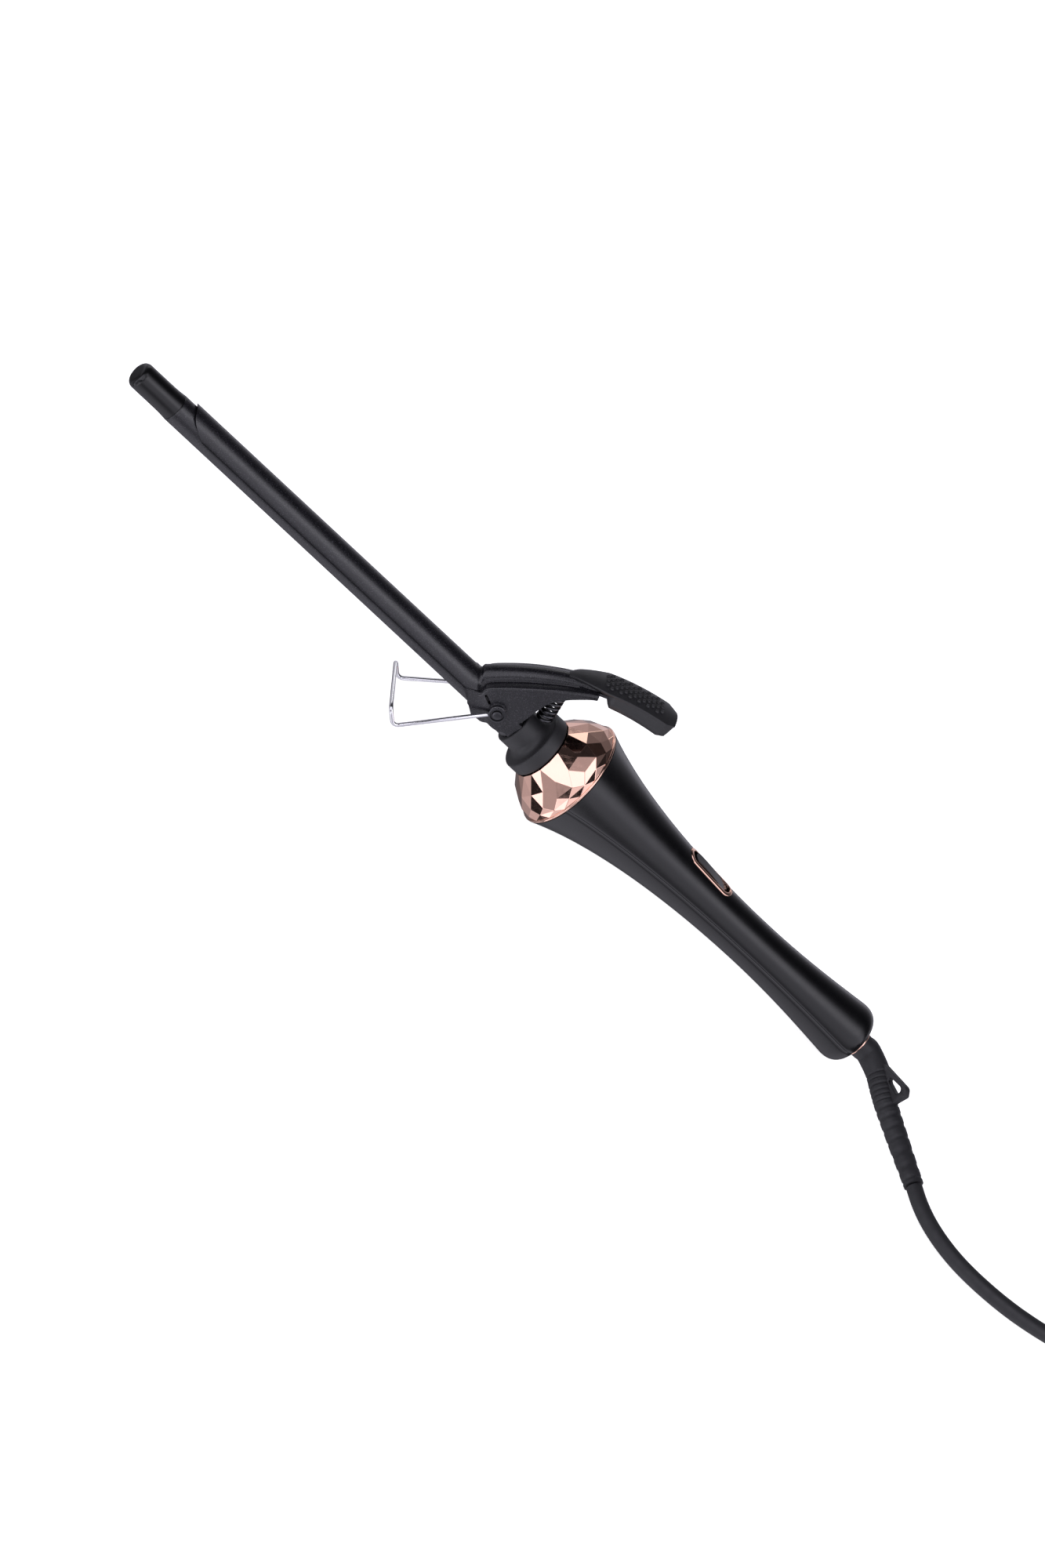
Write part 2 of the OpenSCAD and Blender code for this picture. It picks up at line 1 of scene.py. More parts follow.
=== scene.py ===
"""Curling iron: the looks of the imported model. Lengths are in millimetres until place() turns them into metres."""

import json
import math

import bmesh
import bpy
from mathutils import Matrix, Vector


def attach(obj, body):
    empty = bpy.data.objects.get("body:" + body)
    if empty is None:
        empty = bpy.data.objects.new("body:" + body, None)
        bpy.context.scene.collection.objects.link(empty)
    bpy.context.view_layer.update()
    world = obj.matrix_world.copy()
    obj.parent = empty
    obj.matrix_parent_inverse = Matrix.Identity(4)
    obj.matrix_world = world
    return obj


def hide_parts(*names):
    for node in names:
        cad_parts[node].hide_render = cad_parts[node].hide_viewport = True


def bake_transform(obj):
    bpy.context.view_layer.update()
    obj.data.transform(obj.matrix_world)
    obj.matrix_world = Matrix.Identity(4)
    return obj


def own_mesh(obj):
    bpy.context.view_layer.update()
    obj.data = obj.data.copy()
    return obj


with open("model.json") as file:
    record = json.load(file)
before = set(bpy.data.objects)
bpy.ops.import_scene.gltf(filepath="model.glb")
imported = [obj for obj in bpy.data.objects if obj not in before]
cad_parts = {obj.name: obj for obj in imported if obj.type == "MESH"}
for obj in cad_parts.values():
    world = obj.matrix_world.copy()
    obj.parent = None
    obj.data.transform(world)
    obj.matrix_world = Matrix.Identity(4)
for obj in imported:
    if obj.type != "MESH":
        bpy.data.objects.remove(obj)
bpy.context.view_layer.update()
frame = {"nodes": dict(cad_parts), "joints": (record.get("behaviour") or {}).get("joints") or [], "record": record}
joints = {j["name"]: j for j in frame["joints"]}
MM = 0.001

# ---- The iron's own frame: x = 0 at the handle's rim on the barrel's axis, tip towards -X ----

swivel_axis = joints["lead_swivel"]["axis"]
LIE = math.atan2(-swivel_axis[2], swivel_axis[0])
TILT = Matrix.Rotation(LIE, 4, "Y")
PIVOT = Vector((-36.7, 0, 2.5))
ORIGIN = Vector(joints["clamp_hinge"]["pos_m"]) - TILT @ (PIVOT * MM)
LAID = Matrix.Translation(ORIGIN) @ TILT @ Matrix.Scale(MM, 4)
ON_SURFACE = Matrix.Scale(MM, 4)


# ---- Camera ----

TURN = math.radians(24)
RISE = math.radians(28)
ROLL = math.radians(42.9)
IMAGE_H = 2000
PX_PER_MM = 4.0
CAMERA_AWAY = 12.0
SENSOR = 36.0
RIM_RIGHT, RIM_UP = 15.1, 3.0


def make_camera():
    toward_tip = Vector((-math.cos(TURN), math.sin(TURN) * math.cos(RISE), -math.sin(TURN) * math.sin(RISE)))
    up_side = Vector((0, math.sin(RISE), math.cos(RISE)))
    back = Vector((-math.sin(TURN), -math.cos(TURN) * math.cos(RISE), math.cos(TURN) * math.sin(RISE)))
    right = -math.cos(ROLL) * toward_tip + math.sin(ROLL) * up_side
    up = math.sin(ROLL) * toward_tip + math.cos(ROLL) * up_side
    right, up, back = (TILT.to_3x3() @ v for v in (right, up, back))
    aim = LAID @ Vector((0, 0, 0)) - (right * RIM_RIGHT + up * RIM_UP) * MM
    data = bpy.data.cameras.new("camera")
    data.sensor_width = SENSOR
    data.lens = SENSOR * CAMERA_AWAY / (IMAGE_H / PX_PER_MM * MM)
    data.clip_start, data.clip_end = 0.1, 40
    camera = bpy.data.objects.new("camera", data)
    bpy.context.collection.objects.link(camera)
    turn = Matrix((right, up, back)).transposed()
    camera.matrix_world = Matrix.Translation(aim + back * CAMERA_AWAY) @ turn.to_4x4()
    bpy.context.scene.camera = camera


make_camera()


# ---- Materials ----


class Look:
    """One procedural material. Each method adds a few nodes."""

    def __init__(self, name, colour, roughness, metallic=0.0, coat=0.0, sheen=0.0):
        self.material = bpy.data.materials.new(name)
        self.material.use_nodes = True
        self.nodes = self.material.node_tree.nodes
        self.links = self.material.node_tree.links
        self.shader = self.nodes["Principled BSDF"]
        self.colour = (*colour, 1)
        self.set("Base Color", self.colour)
        self.set("Roughness", roughness)
        self.set("Metallic", metallic)
        self.set("Coat Weight", coat)
        self.set("Coat Roughness", 0.12)
        self.set("Sheen Weight", sheen)
        self.place = self.nodes.new("ShaderNodeTexCoord").outputs["Object"]
        self.height = None

    def set(self, socket, value):
        self.shader.inputs[socket].default_value = value

    def noise(self, size_mm, detail, stretch=None):
        node = self.nodes.new("ShaderNodeTexNoise")
        node.inputs["Scale"].default_value = 1 / (size_mm * MM)
        node.inputs["Detail"].default_value = detail
        source = self.place
        if stretch:
            mapping = self.nodes.new("ShaderNodeMapping")
            mapping.inputs["Scale"].default_value = stretch
            self.links.new(source, mapping.inputs["Vector"])
            source = mapping.outputs["Vector"]
        self.links.new(source, node.inputs["Vector"])
        return node.outputs["Fac"]

    def cells(self, size_mm):
        node = self.nodes.new("ShaderNodeTexVoronoi")
        node.inputs["Scale"].default_value = 1 / (size_mm * MM)
        self.links.new(self.place, node.inputs["Vector"])
        return node.outputs["Distance"]

    def ramp(self, source, low, high, at_low, at_high):
        """source mapped from the span low..high to the span at_low..at_high."""
        node = self.nodes.new("ShaderNodeMapRange")
        for name, value in (("From Min", low), ("From Max", high), ("To Min", at_low), ("To Max", at_high)):
            node.inputs[name].default_value = value
        self.links.new(source, node.inputs["Value"])
        return node.outputs["Result"]

    def blend_colour(self, factor, other):
        """Mixes the colour so far with another one, by a factor from 0 to 1."""
        node = self.nodes.new("ShaderNodeMix")
        node.data_type = "RGBA"
        self.links.new(factor, node.inputs["Factor"])
        socket = self.shader.inputs["Base Color"]
        if socket.is_linked:
            self.links.new(socket.links[0].from_socket, node.inputs[6])
        else:
            node.inputs[6].default_value = self.colour
        node.inputs[7].default_value = (*other, 1)
        self.links.new(node.outputs[2], socket)

    def roughness(self, source):
        self.links.new(source, self.shader.inputs["Roughness"])

    def bump(self, source, height_mm, strength=1.0):
        node = self.nodes.new("ShaderNodeBump")
        node.inputs["Distance"].default_value = height_mm * MM
        node.inputs["Strength"].default_value = strength
        self.links.new(source, node.inputs["Height"])
        if self.height:
            self.links.new(self.height, node.inputs["Normal"])
        self.height = node.outputs["Normal"]
        self.links.new(self.height, self.shader.inputs["Normal"])


def speckled():
    look = Look("speckled_coating", (0.005, 0.0048, 0.007), 0.3)
    look.set("IOR", 1.6)
    look.blend_colour(look.ramp(look.noise(6, 2), 0.35, 0.7, 0.0, 0.5), (0.009, 0.0085, 0.012))
    look.blend_colour(look.ramp(look.cells(0.7), 0.2, 0.12, 0.0, 0.8), (0.06, 0.057, 0.07))
    look.blend_colour(look.ramp(look.noise(0.35, 1), 0.64, 0.7, 0.0, 0.8), (0.045, 0.043, 0.052))
    look.blend_colour(look.ramp(look.noise(0.5, 1), 0.36, 0.3, 0.0, 0.8), (0.006, 0.006, 0.008))
    look.roughness(look.ramp(look.noise(0.5, 2), 0.3, 0.7, 0.22, 0.36))
    look.bump(look.noise(0.45, 2), 0.04, 0.6)
    return look.material


def satin_plastic(name, colour, rough_low, rough_high, grain_mm, grain_height, coat=0.0):
    look = Look(name, colour, rough_high, coat=coat)
    look.blend_colour(look.ramp(look.noise(14, 2), 0.35, 0.7, 0.0, 0.5), tuple(1.3 * c for c in colour))
    look.roughness(look.ramp(look.noise(3, 3), 0.3, 0.7, rough_low, rough_high))
    look.bump(look.noise(grain_mm, 2), grain_height, 0.6)
    return look.material


def plated(name, colour, rough_low, rough_high, wave_mm=9.0, height=0.004):
    look = Look(name, colour, rough_high, metallic=1.0)
    look.blend_colour(look.ramp(look.noise(5, 2), 0.4, 0.75, 0.0, 0.35), tuple(0.9 * c for c in colour))
    look.roughness(look.ramp(look.noise(1.6, 3), 0.35, 0.7, rough_low, rough_high))
    look.bump(look.noise(wave_mm, 1), height, 0.5)
    return look.material


def woven(name, colour):
    look = Look(name, colour, 0.8, sheen=0.3)
    weave = look.noise(0.5, 1, stretch=(1, 1, 4))
    look.blend_colour(look.ramp(weave, 0.4, 0.6, 0.0, 0.8), tuple(2.2 * c for c in colour))
    look.roughness(look.ramp(weave, 0.3, 0.7, 0.7, 0.9))
    look.bump(weave, 0.12, 0.8)
    return look.material


LOOKS = {
    "speckled_coating": speckled(),
    "matte_black": satin_plastic("matte_black", (0.015, 0.015, 0.0165), 0.42, 0.52, 0.35, 0.02),
    "gloss_black": satin_plastic("gloss_black", (0.003, 0.003, 0.0035), 0.2, 0.26, 0.5, 0.002),
    "rose_metal": plated("rose_metal", (0.95, 0.6, 0.47), 0.05, 0.1),
    "steel": plated("steel", (0.6, 0.6, 0.62), 0.25, 0.4, 0.6, 0.01),
    "spring_steel": plated("spring_steel", (0.07, 0.07, 0.075), 0.25, 0.35, 0.6, 0.01),
    "bright_wire": plated("bright_wire", (0.86, 0.86, 0.88), 0.1, 0.2, 4.0, 0.006),
    "aluminium": plated("aluminium", (0.75, 0.75, 0.76), 0.3, 0.45, 0.5, 0.01),
    "ceramic": satin_plastic("ceramic", (0.8, 0.78, 0.72), 0.45, 0.6, 0.3, 0.01),
    "board_green": satin_plastic("board_green", (0.02, 0.16, 0.06), 0.25, 0.4, 0.6, 0.01),
    "lead_insulation": satin_plastic("lead_insulation", (0.45, 0.1, 0.04), 0.4, 0.55, 0.3, 0.01),
    "brass": plated("brass", (0.78, 0.6, 0.3), 0.18, 0.3, 1.2, 0.008),
    "cord_rubber": satin_plastic("cord_rubber", (0.014, 0.014, 0.016), 0.5, 0.65, 0.4, 0.02),
    "tie_fabric": woven("tie_fabric", (0.04, 0.04, 0.045)),
}

# ---- Mesh helpers ----


def place(name, points, faces, to_row=LAID, smooth_angle=35):
    """A mesh object in the row frame, from points in millimetres."""
    mesh = bpy.data.meshes.new(name)
    mesh.from_pydata([tuple(to_row @ Vector(p)) for p in points], [], faces)
    edit = bmesh.new()
    edit.from_mesh(mesh)
    bmesh.ops.remove_doubles(edit, verts=edit.verts, dist=1e-7)
    bmesh.ops.recalc_face_normals(edit, faces=edit.faces)
    edit.to_mesh(mesh)
    edit.free()
    piece = bpy.data.objects.new(name, mesh)
    bpy.context.collection.objects.link(piece)
    soften(piece, smooth_angle)
    return piece


def soften(piece, angle):
    """Smooth shading, broken where faces meet at more than angle."""
    mesh = piece.data
    mesh.polygons.foreach_set("use_smooth", [True] * len(mesh.polygons))
    mesh.set_sharp_from_angle(angle=math.radians(angle))


def dress(piece, slot, *replaced):
    piece.data.materials.clear()
    piece.data.materials.append(LOOKS[slot])
    if replaced:
        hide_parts(*replaced)


def finish_piece(piece, body, slot, *replaced):
    dress(piece, slot, *replaced)
    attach(piece, body)
    return piece


def bevel(piece, width_mm, segments=2, angle=35):
    modifier = piece.modifiers.new("edges", "BEVEL")
    modifier.width = width_mm * MM
    modifier.segments = segments
    modifier.limit_method = "ANGLE"
    modifier.angle_limit = math.radians(angle)
    modifier.harden_normals = True


def rings_to_faces(rings, closed=True, caps=True):
    """Faces that join rings of equal length; each ring is a closed loop unless closed is False."""
    n = len(rings[0])
    points = [p for ring in rings for p in ring]
    faces = []
    for i in range(len(rings) - 1):
        for k in range(n if closed else n - 1):
            a, b, j = i * n, (i + 1) * n, (k + 1) % n
            faces.append((a + k, a + j, b + j, b + k))
    if caps and closed:
        faces.append(tuple(range(n)))
        faces.append(tuple((len(rings) - 1) * n + k for k in range(n)))
    return points, faces


def lathe(outline, sides=96):
    """An outline of (x, radius) turned about the X axis. A radius near 0 closes an end."""
    turns = [math.radians(360 * k / sides) for k in range(sides)]
    rings = [[(x, r * math.cos(a), r * math.sin(a)) for a in turns] for x, r in outline]
    return rings_to_faces(rings, caps=False)


def bezier(c, t):
    weights = ((1 - t) ** 3, 3 * t * (1 - t) ** 2, 3 * t * t * (1 - t), t**3)
    return tuple(sum(w * p[k] for w, p in zip(weights, c)) for k in range(2))


def bezier_slope(c, t):
    weights = ((1 - t) ** 2, 2 * t * (1 - t), t * t)
    v = Vector([sum(w * (c[i + 1][k] - c[i][k]) for i, w in enumerate(weights)) for k in range(2)])
    return v.normalized()


def smooth_line(points, steps):
    """Catmull-Rom line through the points, as part.scad draws it."""
    points = [Vector(p) for p in points]
    line = []
    for i in range(len(points) - 1):
        a, b = points[max(i - 1, 0)], points[i]
        c, d = points[i + 1], points[min(i + 2, len(points) - 1)]
        for k in range(steps):
            t = k / steps
            line.append(0.5 * (2 * b + t * (c - a) + t * t * (2 * a - 5 * b + 4 * c - d)
                               + t**3 * (3 * b - a - 3 * c + d)))
    return line + [points[-1]]


def line_frames(line):
    """(tangent, normal, side) at each point of a line, turning as little as possible."""
    normal = Vector((0.01, 0.02, 1))
    frames = []
    for i in range(len(line)):
        tangent = (line[min(i + 1, len(line) - 1)] - line[max(i - 1, 0)]).normalized()
        normal = (normal - tangent * normal.dot(tangent)).normalized()
        frames.append((tangent, normal, tangent.cross(normal)))
    return frames


def tube_rings(line, radius, sides=20):
    """Rings along a line. radius is a number or a function of the share of the way along."""
    line = [Vector(p) for p in line]
    frames = line_frames(line)
    rings = []
    for i, (p, (_, n, b)) in enumerate(zip(line, frames)):
        r = radius(i / (len(line) - 1)) if callable(radius) else radius
        rings.append([p + r * (math.cos(a) * n + math.sin(a) * b)
                      for a in (2 * math.pi * k / sides for k in range(sides))])
    return rings


def tube(name, line, radius, sides=20, to_row=LAID, smooth_angle=50):
    points, faces = rings_to_faces(tube_rings(line, radius, sides))
    return place(name, points, faces, to_row, smooth_angle)


def length_of(line):
    return sum((b - a).length for a, b in zip(line, line[1:]))


def joined(parts, name):
    """One object from several, keeping the first one's place in the scene."""
    edit = bmesh.new()
    for part in parts:
        edit.from_mesh(part.data)
        if part is not parts[0]:
            bpy.data.objects.remove(part)
    parts[0].name = name
    edit.to_mesh(parts[0].data)
    edit.free()
    return parts[0]


def applied(piece):
    """Replaces the piece's mesh by what its modifiers make of it."""
    graph = bpy.context.evaluated_depsgraph_get()
    mesh = bpy.data.meshes.new_from_object(piece.evaluated_get(graph))
    piece.modifiers.clear()
    piece.data = mesh
    return piece


# ---- Cord: lead, coil and tail ----

CORD_D = 5.4
CORD_LENGTH = 1.8
LEAD_ROUTE = [(204.9, -39.3, 3.8), (208.5, -44.8, 3.2), (213.5, -50.2, 2.8), (220.5, -55.2, 2.7),
              (229, -58.6, 2.7), (240, -60.3, 2.7), (252, -60.3, 2.7), (265, -58.3, 2.7), (278, -54.9, 2.8),
              (290, -51, 3.1), (301, -47.7, 3.5), (312, -46.2, 3.7)]
TAIL_ROUTE = [(312, -46.2, 14.5), (324, -45.8, 14), (337, -41, 12.4), (347, -32, 10.2), (352.5, -20.5, 8.2),
              (354, -9, 7), (354, 2, 6.9), (354, 14, 6.9)]
COIL_AT = Vector((312, -12, 1))
# The turns' places across the bundle, (out, up) in diameters: in along the bottom, up the inside,
# back along the top's inner half and out to the edge
TURNS = [(1, 0), (0, 0), (-1, 0), (-1, 1), (-1, 2), (0, 2), (0, 1), (1, 1), (1, 2)]
STEPS_A_TURN = 40
CHANGE = 0.3


def coil_line(radius):
    """Turns of the coil from its lowest outer turn to its highest, starting and ending at the near side."""
    line = []
    for turn, (out, up) in enumerate(TURNS):
        next_out, next_up = TURNS[min(turn + 1, len(TURNS) - 1)]
        for k in range(STEPS_A_TURN):
            share = k / STEPS_A_TURN
            t = max(0.0, (share - 1 + CHANGE) / CHANGE)
            t = t * t * (3 - 2 * t)
            r = radius + CORD_D * (out + (next_out - out) * t)
            z = CORD_D * (0.5 + up + (next_up - up) * t)
            a = -math.pi / 2 + 2 * math.pi * share
            line.append(COIL_AT + Vector((r * math.cos(a), r * math.sin(a), z)))
    return line


def whole_cord(radius):
    lead = smooth_line(LEAD_ROUTE, 5)
    coil = coil_line(radius)
    tail = smooth_line(TAIL_ROUTE, 5)
    return lead[:-1] + coil + tail


def make_cord():
    low, high = 27.0, 30.0
    for _ in range(30):
        radius = (low + high) / 2
        if length_of(whole_cord(radius)) * MM < CORD_LENGTH:
            low = radius
        else:
            high = radius
    line = whole_cord(radius)
    cord = tube("mains_cord", line, CORD_D / 2, 14, ON_SURFACE)
    dress(cord, "cord_rubber", "cord_lead", "cord_coil", "cord_tail")
    return cord, line


mains_cord, cord_line = make_cord()

# ---- Barrel, tip and neck ----

BARREL_R = 5.0
BARREL_BORE = 4.3
BARREL_REACH = 187.4
BARREL_BACK = 8
TIP_X = -205.0
TIP_R = 4.7
TIP_ROUND = 2.2


def arc_points(cx, cr, radius, first, last, count=6):
    """Points of an arc about (cx, cr) in the outline's plane, angles in degrees."""
    return [(cx + radius * math.cos(math.radians(first + (last - first) * i / count)),
             cr + radius * math.sin(math.radians(first + (last - first) * i / count))) for i in range(count + 1)]


def make_barrel():
    front = [(-BARREL_REACH, BARREL_BORE), (-BARREL_REACH, 4.75), (-BARREL_REACH + 0.3, BARREL_R)]
    middle = [(-BARREL_REACH + 20 * i, BARREL_R) for i in range(1, 10)]
    back = [(BARREL_BACK, BARREL_R), (BARREL_BACK, BARREL_BORE)]
    points, faces = lathe(front + middle + back + front[:1])
    finish_piece(place("barrel", points, faces), "iron", "speckled_coating", "barrel_tube")


def make_tip():
    """Glossy cap with a flat rounded end, flared a little where it meets the barrel."""
    outline = [(TIP_X, 0.001)]
    outline += [(TIP_X + TIP_ROUND - x, r) for x, r in arc_points(0, TIP_R - TIP_ROUND, TIP_ROUND, 0, 90, 8)]
    outline += [(-BARREL_REACH - 7, TIP_R), (-BARREL_REACH - 3, TIP_R + 0.04), (-BARREL_REACH - 1, TIP_R + 0.16)]
    outline += [(-BARREL_REACH - 0.3, TIP_R + 0.24), (-BARREL_REACH - 0.05, TIP_R + 0.1), (-BARREL_REACH, BARREL_BORE)]
    outline += [(-BARREL_REACH + 6, 4.25), (-BARREL_REACH + 6, 0.001)]
    points, faces = lathe(outline)
    finish_piece(place("cool_tip", points, faces), "iron", "gloss_black", "tip_cap")


def cut(piece, cutter):
    modifier = piece.modifiers.new("cut", "BOOLEAN")
    modifier.operation = "DIFFERENCE"
    modifier.solver = "EXACT"
    modifier.object = cutter
    applied(piece)
    bpy.data.objects.remove(cutter)
    soften(piece, 35)


def make_neck():
    outline = [(-26.3, BARREL_R), (-26.3, 5.5), (-26.6, 5.8)]
    outline += arc_points(-26.0, 6.5, 0.6, 180, 90)
    outline += [(-21.4, 7.1)]
    outline += arc_points(-21.4, 9.9, 2.8, 270, 352, 10)
    outline += arc_points(-17.8, 10.5, 0.8, 180, 90)
    outline += [(-14.6, 11.3)]
    outline += arc_points(-14.2, 10.5, 0.8, 90, 0)
    outline += [(-13.4, 6), (-13.4, BARREL_R)]
    points, faces = lathe(outline)
    finish_piece(place("neck", points, faces), "iron", "matte_black", "neck_collar")


def make_rings():
    rim = [(-0.8, 18.2), (-0.8, 19.3), *arc_points(-0.2, 19.3, 0.45, 180, 0, 8), (0.4, 18.2)]
    points, faces = lathe(rim, 160)
    finish_piece(place("rim_band", points, faces), "iron", "rose_metal", "rim_ring")
    end = [(134.1, 4.6), (134.1, 5.7), (137.3, 5.7), *arc_points(137.3, 5.15, 0.55, 90, 0),
           *arc_points(137.3, 5.05, 0.45, 0, -90), (134.1, 4.6)]
    points, faces = lathe(end)
    finish_piece(place("exit_ring", points, faces), "iron", "rose_metal", "end_ring")


FACETS = 18
DOME_RINGS = [(-13.2, 11.3), (-8.4, 16.2), (-4.4, 18.5), (-2.2, 19.25), (-0.7, 19.5)]
DOME_CUT = 0.5
DOME_WALL = 1.6


def make_dome():
    """Diamond-cut shell. Each row's corners lie half a facet on from the last row's, and every other
    corner is cut a little deeper, so that no two neighbouring facets catch the light alike."""
    rings = []
    for i, (x, r) in enumerate(DOME_RINGS):
        ring = []
        for k in range(FACETS):
            a = 2 * math.pi * (k + (i % 2) / 2) / FACETS
            deep = DOME_CUT * ((k + i) % 2) if 0 < i < len(DOME_RINGS) - 1 else 0
            ring.append((x - deep * 0.4, (r - deep) * math.cos(a), (r - deep) * math.sin(a)))
        rings.append(ring)
    points = [p for ring in rings for p in ring]
    faces = []
    for i in range(len(rings) - 1):
        for k in range(FACETS):
            a, b = i * FACETS + k, i * FACETS + (k + 1) % FACETS
            c, d = a + FACETS, b + FACETS
            faces += [(a, b, c), (b, d, c)] if i % 2 == 0 else [(a, d, c), (a, b, d)]
    inner = len(points)
    points += [(x + DOME_WALL, y * 0.9, z * 0.9) for x, y, z in points]
    for i in range(len(rings) - 1):
        for k in range(FACETS):
            a, b = inner + i * FACETS + k, inner + i * FACETS + (k + 1) % FACETS
            faces.append((a, b, b + FACETS, a + FACETS))
    last = (len(rings) - 1) * FACETS
    for first in (0, last):
        for k in range(FACETS):
            j = (k + 1) % FACETS
            faces.append((first + k, first + j, inner + first + j, inner + first + k))
    dome = place("diamond_dome", points, faces, smooth_angle=1)
    bevel(dome, 0.12, 1, 3)
    finish_piece(dome, "iron", "rose_metal", "faceted_dome")


# ---- Handle ----

FRONT_CURVE = [(0.4, 19.6), (21, 12), (52, 8.1), (87, 8.1)]
REAR_CURVE = [(87, 8.1), (104, 8.1), (118, 9.4), (130, 10.5)]
END_CURVE = [(130, 10.5), (134, 10.9), (136.4, 9.4), (136.6, 5.8)]
WALL = 1.6
LEAST_BORE = 5.75
SEAM_DEPTH = 0.45
SEAM_HALF = 1.1
SWITCH_X = 57.5


def handle_outline():
    line = [bezier(FRONT_CURVE, i / 40) for i in range(41)]
    line += [bezier(REAR_CURVE, i / 24) for i in range(1, 25)]
    return line + [bezier(END_CURVE, i / 14) for i in range(1, 15)]


def handle_radius(x):
    line = handle_outline()
    for (x0, r0), (x1, r1) in zip(line, line[1:]):
        if x0 <= x <= x1:
            return r0 + (r1 - r0) * (x - x0) / (x1 - x0)
    return line[-1][1]


def half_handle(name, side):
    """One shell: outer skin with edges rolled in at the joint line, and an inner skin."""
    outer = handle_outline()
    inner = [(x, max(r - WALL, LEAST_BORE)) for x, r in outer]
    rings = []
    near_seam = [0, 0.6, 1.3, 2.2, 3.3, 4.6]
    angles = near_seam + [6 + 168 * k / 56 for k in range(57)] + [180 - a for a in reversed(near_seam)]
    for x, r in outer + inner[::-1]:
        ring = []
        for a in angles:
            from_seam = r * math.radians(min(a, 180 - a)) / SEAM_HALF
            dip = SEAM_DEPTH * max(0.0, 1 - from_seam) ** 2
            angle = math.radians(a) * side
            ring.append((x, (r - dip) * math.cos(angle), (r - dip) * math.sin(angle)))
        rings.append(ring)
    rings.append(rings[0])
    points, faces = rings_to_faces(rings, closed=False)
    n = len(angles)
    count = len(outer)
    total = 2 * count
    for edge in (0, n - 1):
        for i in range(count - 1):
            faces.append((i * n + edge, (i + 1) * n + edge, (total - 2 - i) * n + edge, (total - 1 - i) * n + edge))
    return place(name, points, faces, smooth_angle=30)


def stadium(length, width, count=16):
    """Points round a slot's outline, anticlockwise."""
    points = []
    for centre, first in (((length - width) / 2, -90), (-(length - width) / 2, 90)):
        for k in range(count + 1):
            a = math.radians(first + 180 * k / count)
            points.append((centre + width / 2 * math.cos(a), width / 2 * math.sin(a)))
    return points


BEZEL_LEN, BEZEL_W, BEZEL_BAND = 21.0, 7.0, 1.2


def make_handle():
    upper = half_handle("handle_upper", 1)
    lower = half_handle("handle_lower", -1)
    loop = stadium(BEZEL_LEN - 0.8, BEZEL_W - 0.8)
    rings = [[(SWITCH_X + x, y, z) for x, y in loop] for z in (4.0, 14.0)]
    points, faces = rings_to_faces(rings)
    cut(upper, place("switch_cutter", points, faces))
    finish_piece(upper, "iron", "gloss_black", "handle_upper_shell")
    finish_piece(lower, "iron", "gloss_black", "handle_lower_shell")


def make_bezel():
    """Rose-gold band that follows the handle's surface round the switch."""
    path = stadium(BEZEL_LEN - BEZEL_BAND, BEZEL_W - BEZEL_BAND, 24)
    rings = []
    for i, (x, y) in enumerate(path):
        before, after = Vector(path[i - 1]), Vector(path[(i + 1) % len(path)])
        along = (after - before).normalized()
        out = Vector((along.y, -along.x))
        ring = []
        for k in range(16):
            a = 2 * math.pi * k / 16
            side = BEZEL_BAND / 2 * abs(math.cos(a)) ** 0.6 * math.copysign(1, math.cos(a))
            px, py = SWITCH_X + x + out.x * side, y + out.y * side
            base = math.sqrt(handle_radius(px) ** 2 - py * py)
            lift = 0.34 * max(0.0, math.sin(a)) ** 0.6 if math.sin(a) > 0 else -1.3 * abs(math.sin(a)) ** 0.5
            ring.append((px, py, base + lift))
        rings.append(ring)
    rings.append(rings[0])
    points, faces = rings_to_faces(rings, caps=False)
    finish_piece(place("switch_surround", points, faces), "iron", "rose_metal", "switch_bezel")


# ---- Clamp: trough, ridge-backed lever and ears, pressed from one sheet ----

LEVER_CURVE = [(-50.5, 6), (-40, 20), (-24, 36), (5.6, 39.8)]
SHEET = 0.7
TROUGH_R = 5.85
EAR_Y = 7.2
RIDGE_END = 0.66


def spline(table, t):
    """Smooth value between listed (t, value) pairs."""
    if t <= table[0][0]:
        return table[0][1]
    for i in range(len(table) - 1):
        (t0, v0), (t1, v1) = table[i], table[i + 1]
        if t <= t1:
            before = table[max(i - 1, 0)][1]
            after = table[min(i + 2, len(table) - 1)][1]
            u = (t - t0) / (t1 - t0)
            m0, m1 = (v1 - before) / 2, (after - v0) / 2
            return ((2 * u**3 - 3 * u * u + 1) * v0 + (u**3 - 2 * u * u + u) * m0
                    + (3 * u * u - 2 * u**3) * v1 + (u**3 - u * u) * m1)
    return table[-1][1]


# Along the lever: depth of the sides below the top line, ridge's half width and height, half width of all
SIDE_DEPTH = [(0, 14.5), (0.05, 18.2), (0.1, 20.3), (0.15, 20.8), (0.2, 19.6), (0.25, 17.6), (0.3, 15.4),
              (0.35, 12.4), (0.42, 8.6), (0.5, 6.4), (0.58, 4.9), (RIDGE_END, 3.6)]
RIDGE_HALF = [(0, 5.4), (0.03, 4.2), (0.06, 3.7), (0.2, 3.5), (0.4, 3.3), (0.55, 3.0), (RIDGE_END, 2.7)]
RIDGE_HIGH = [(0, 5.2), (0.03, 4.4), (0.08, 3.7), (0.2, 3.5), (0.4, 3.1), (0.55, 2.4), (RIDGE_END, 1.8)]
HALF_WIDTH = [(0, 6.4), (0.04, 7.0), (0.08, EAR_Y), (0.3, EAR_Y), (0.45, 6.7), (0.55, 6.1), (RIDGE_END, 5.4)]
EAR_SLOT = Vector((-42.2, 0, 3.4))
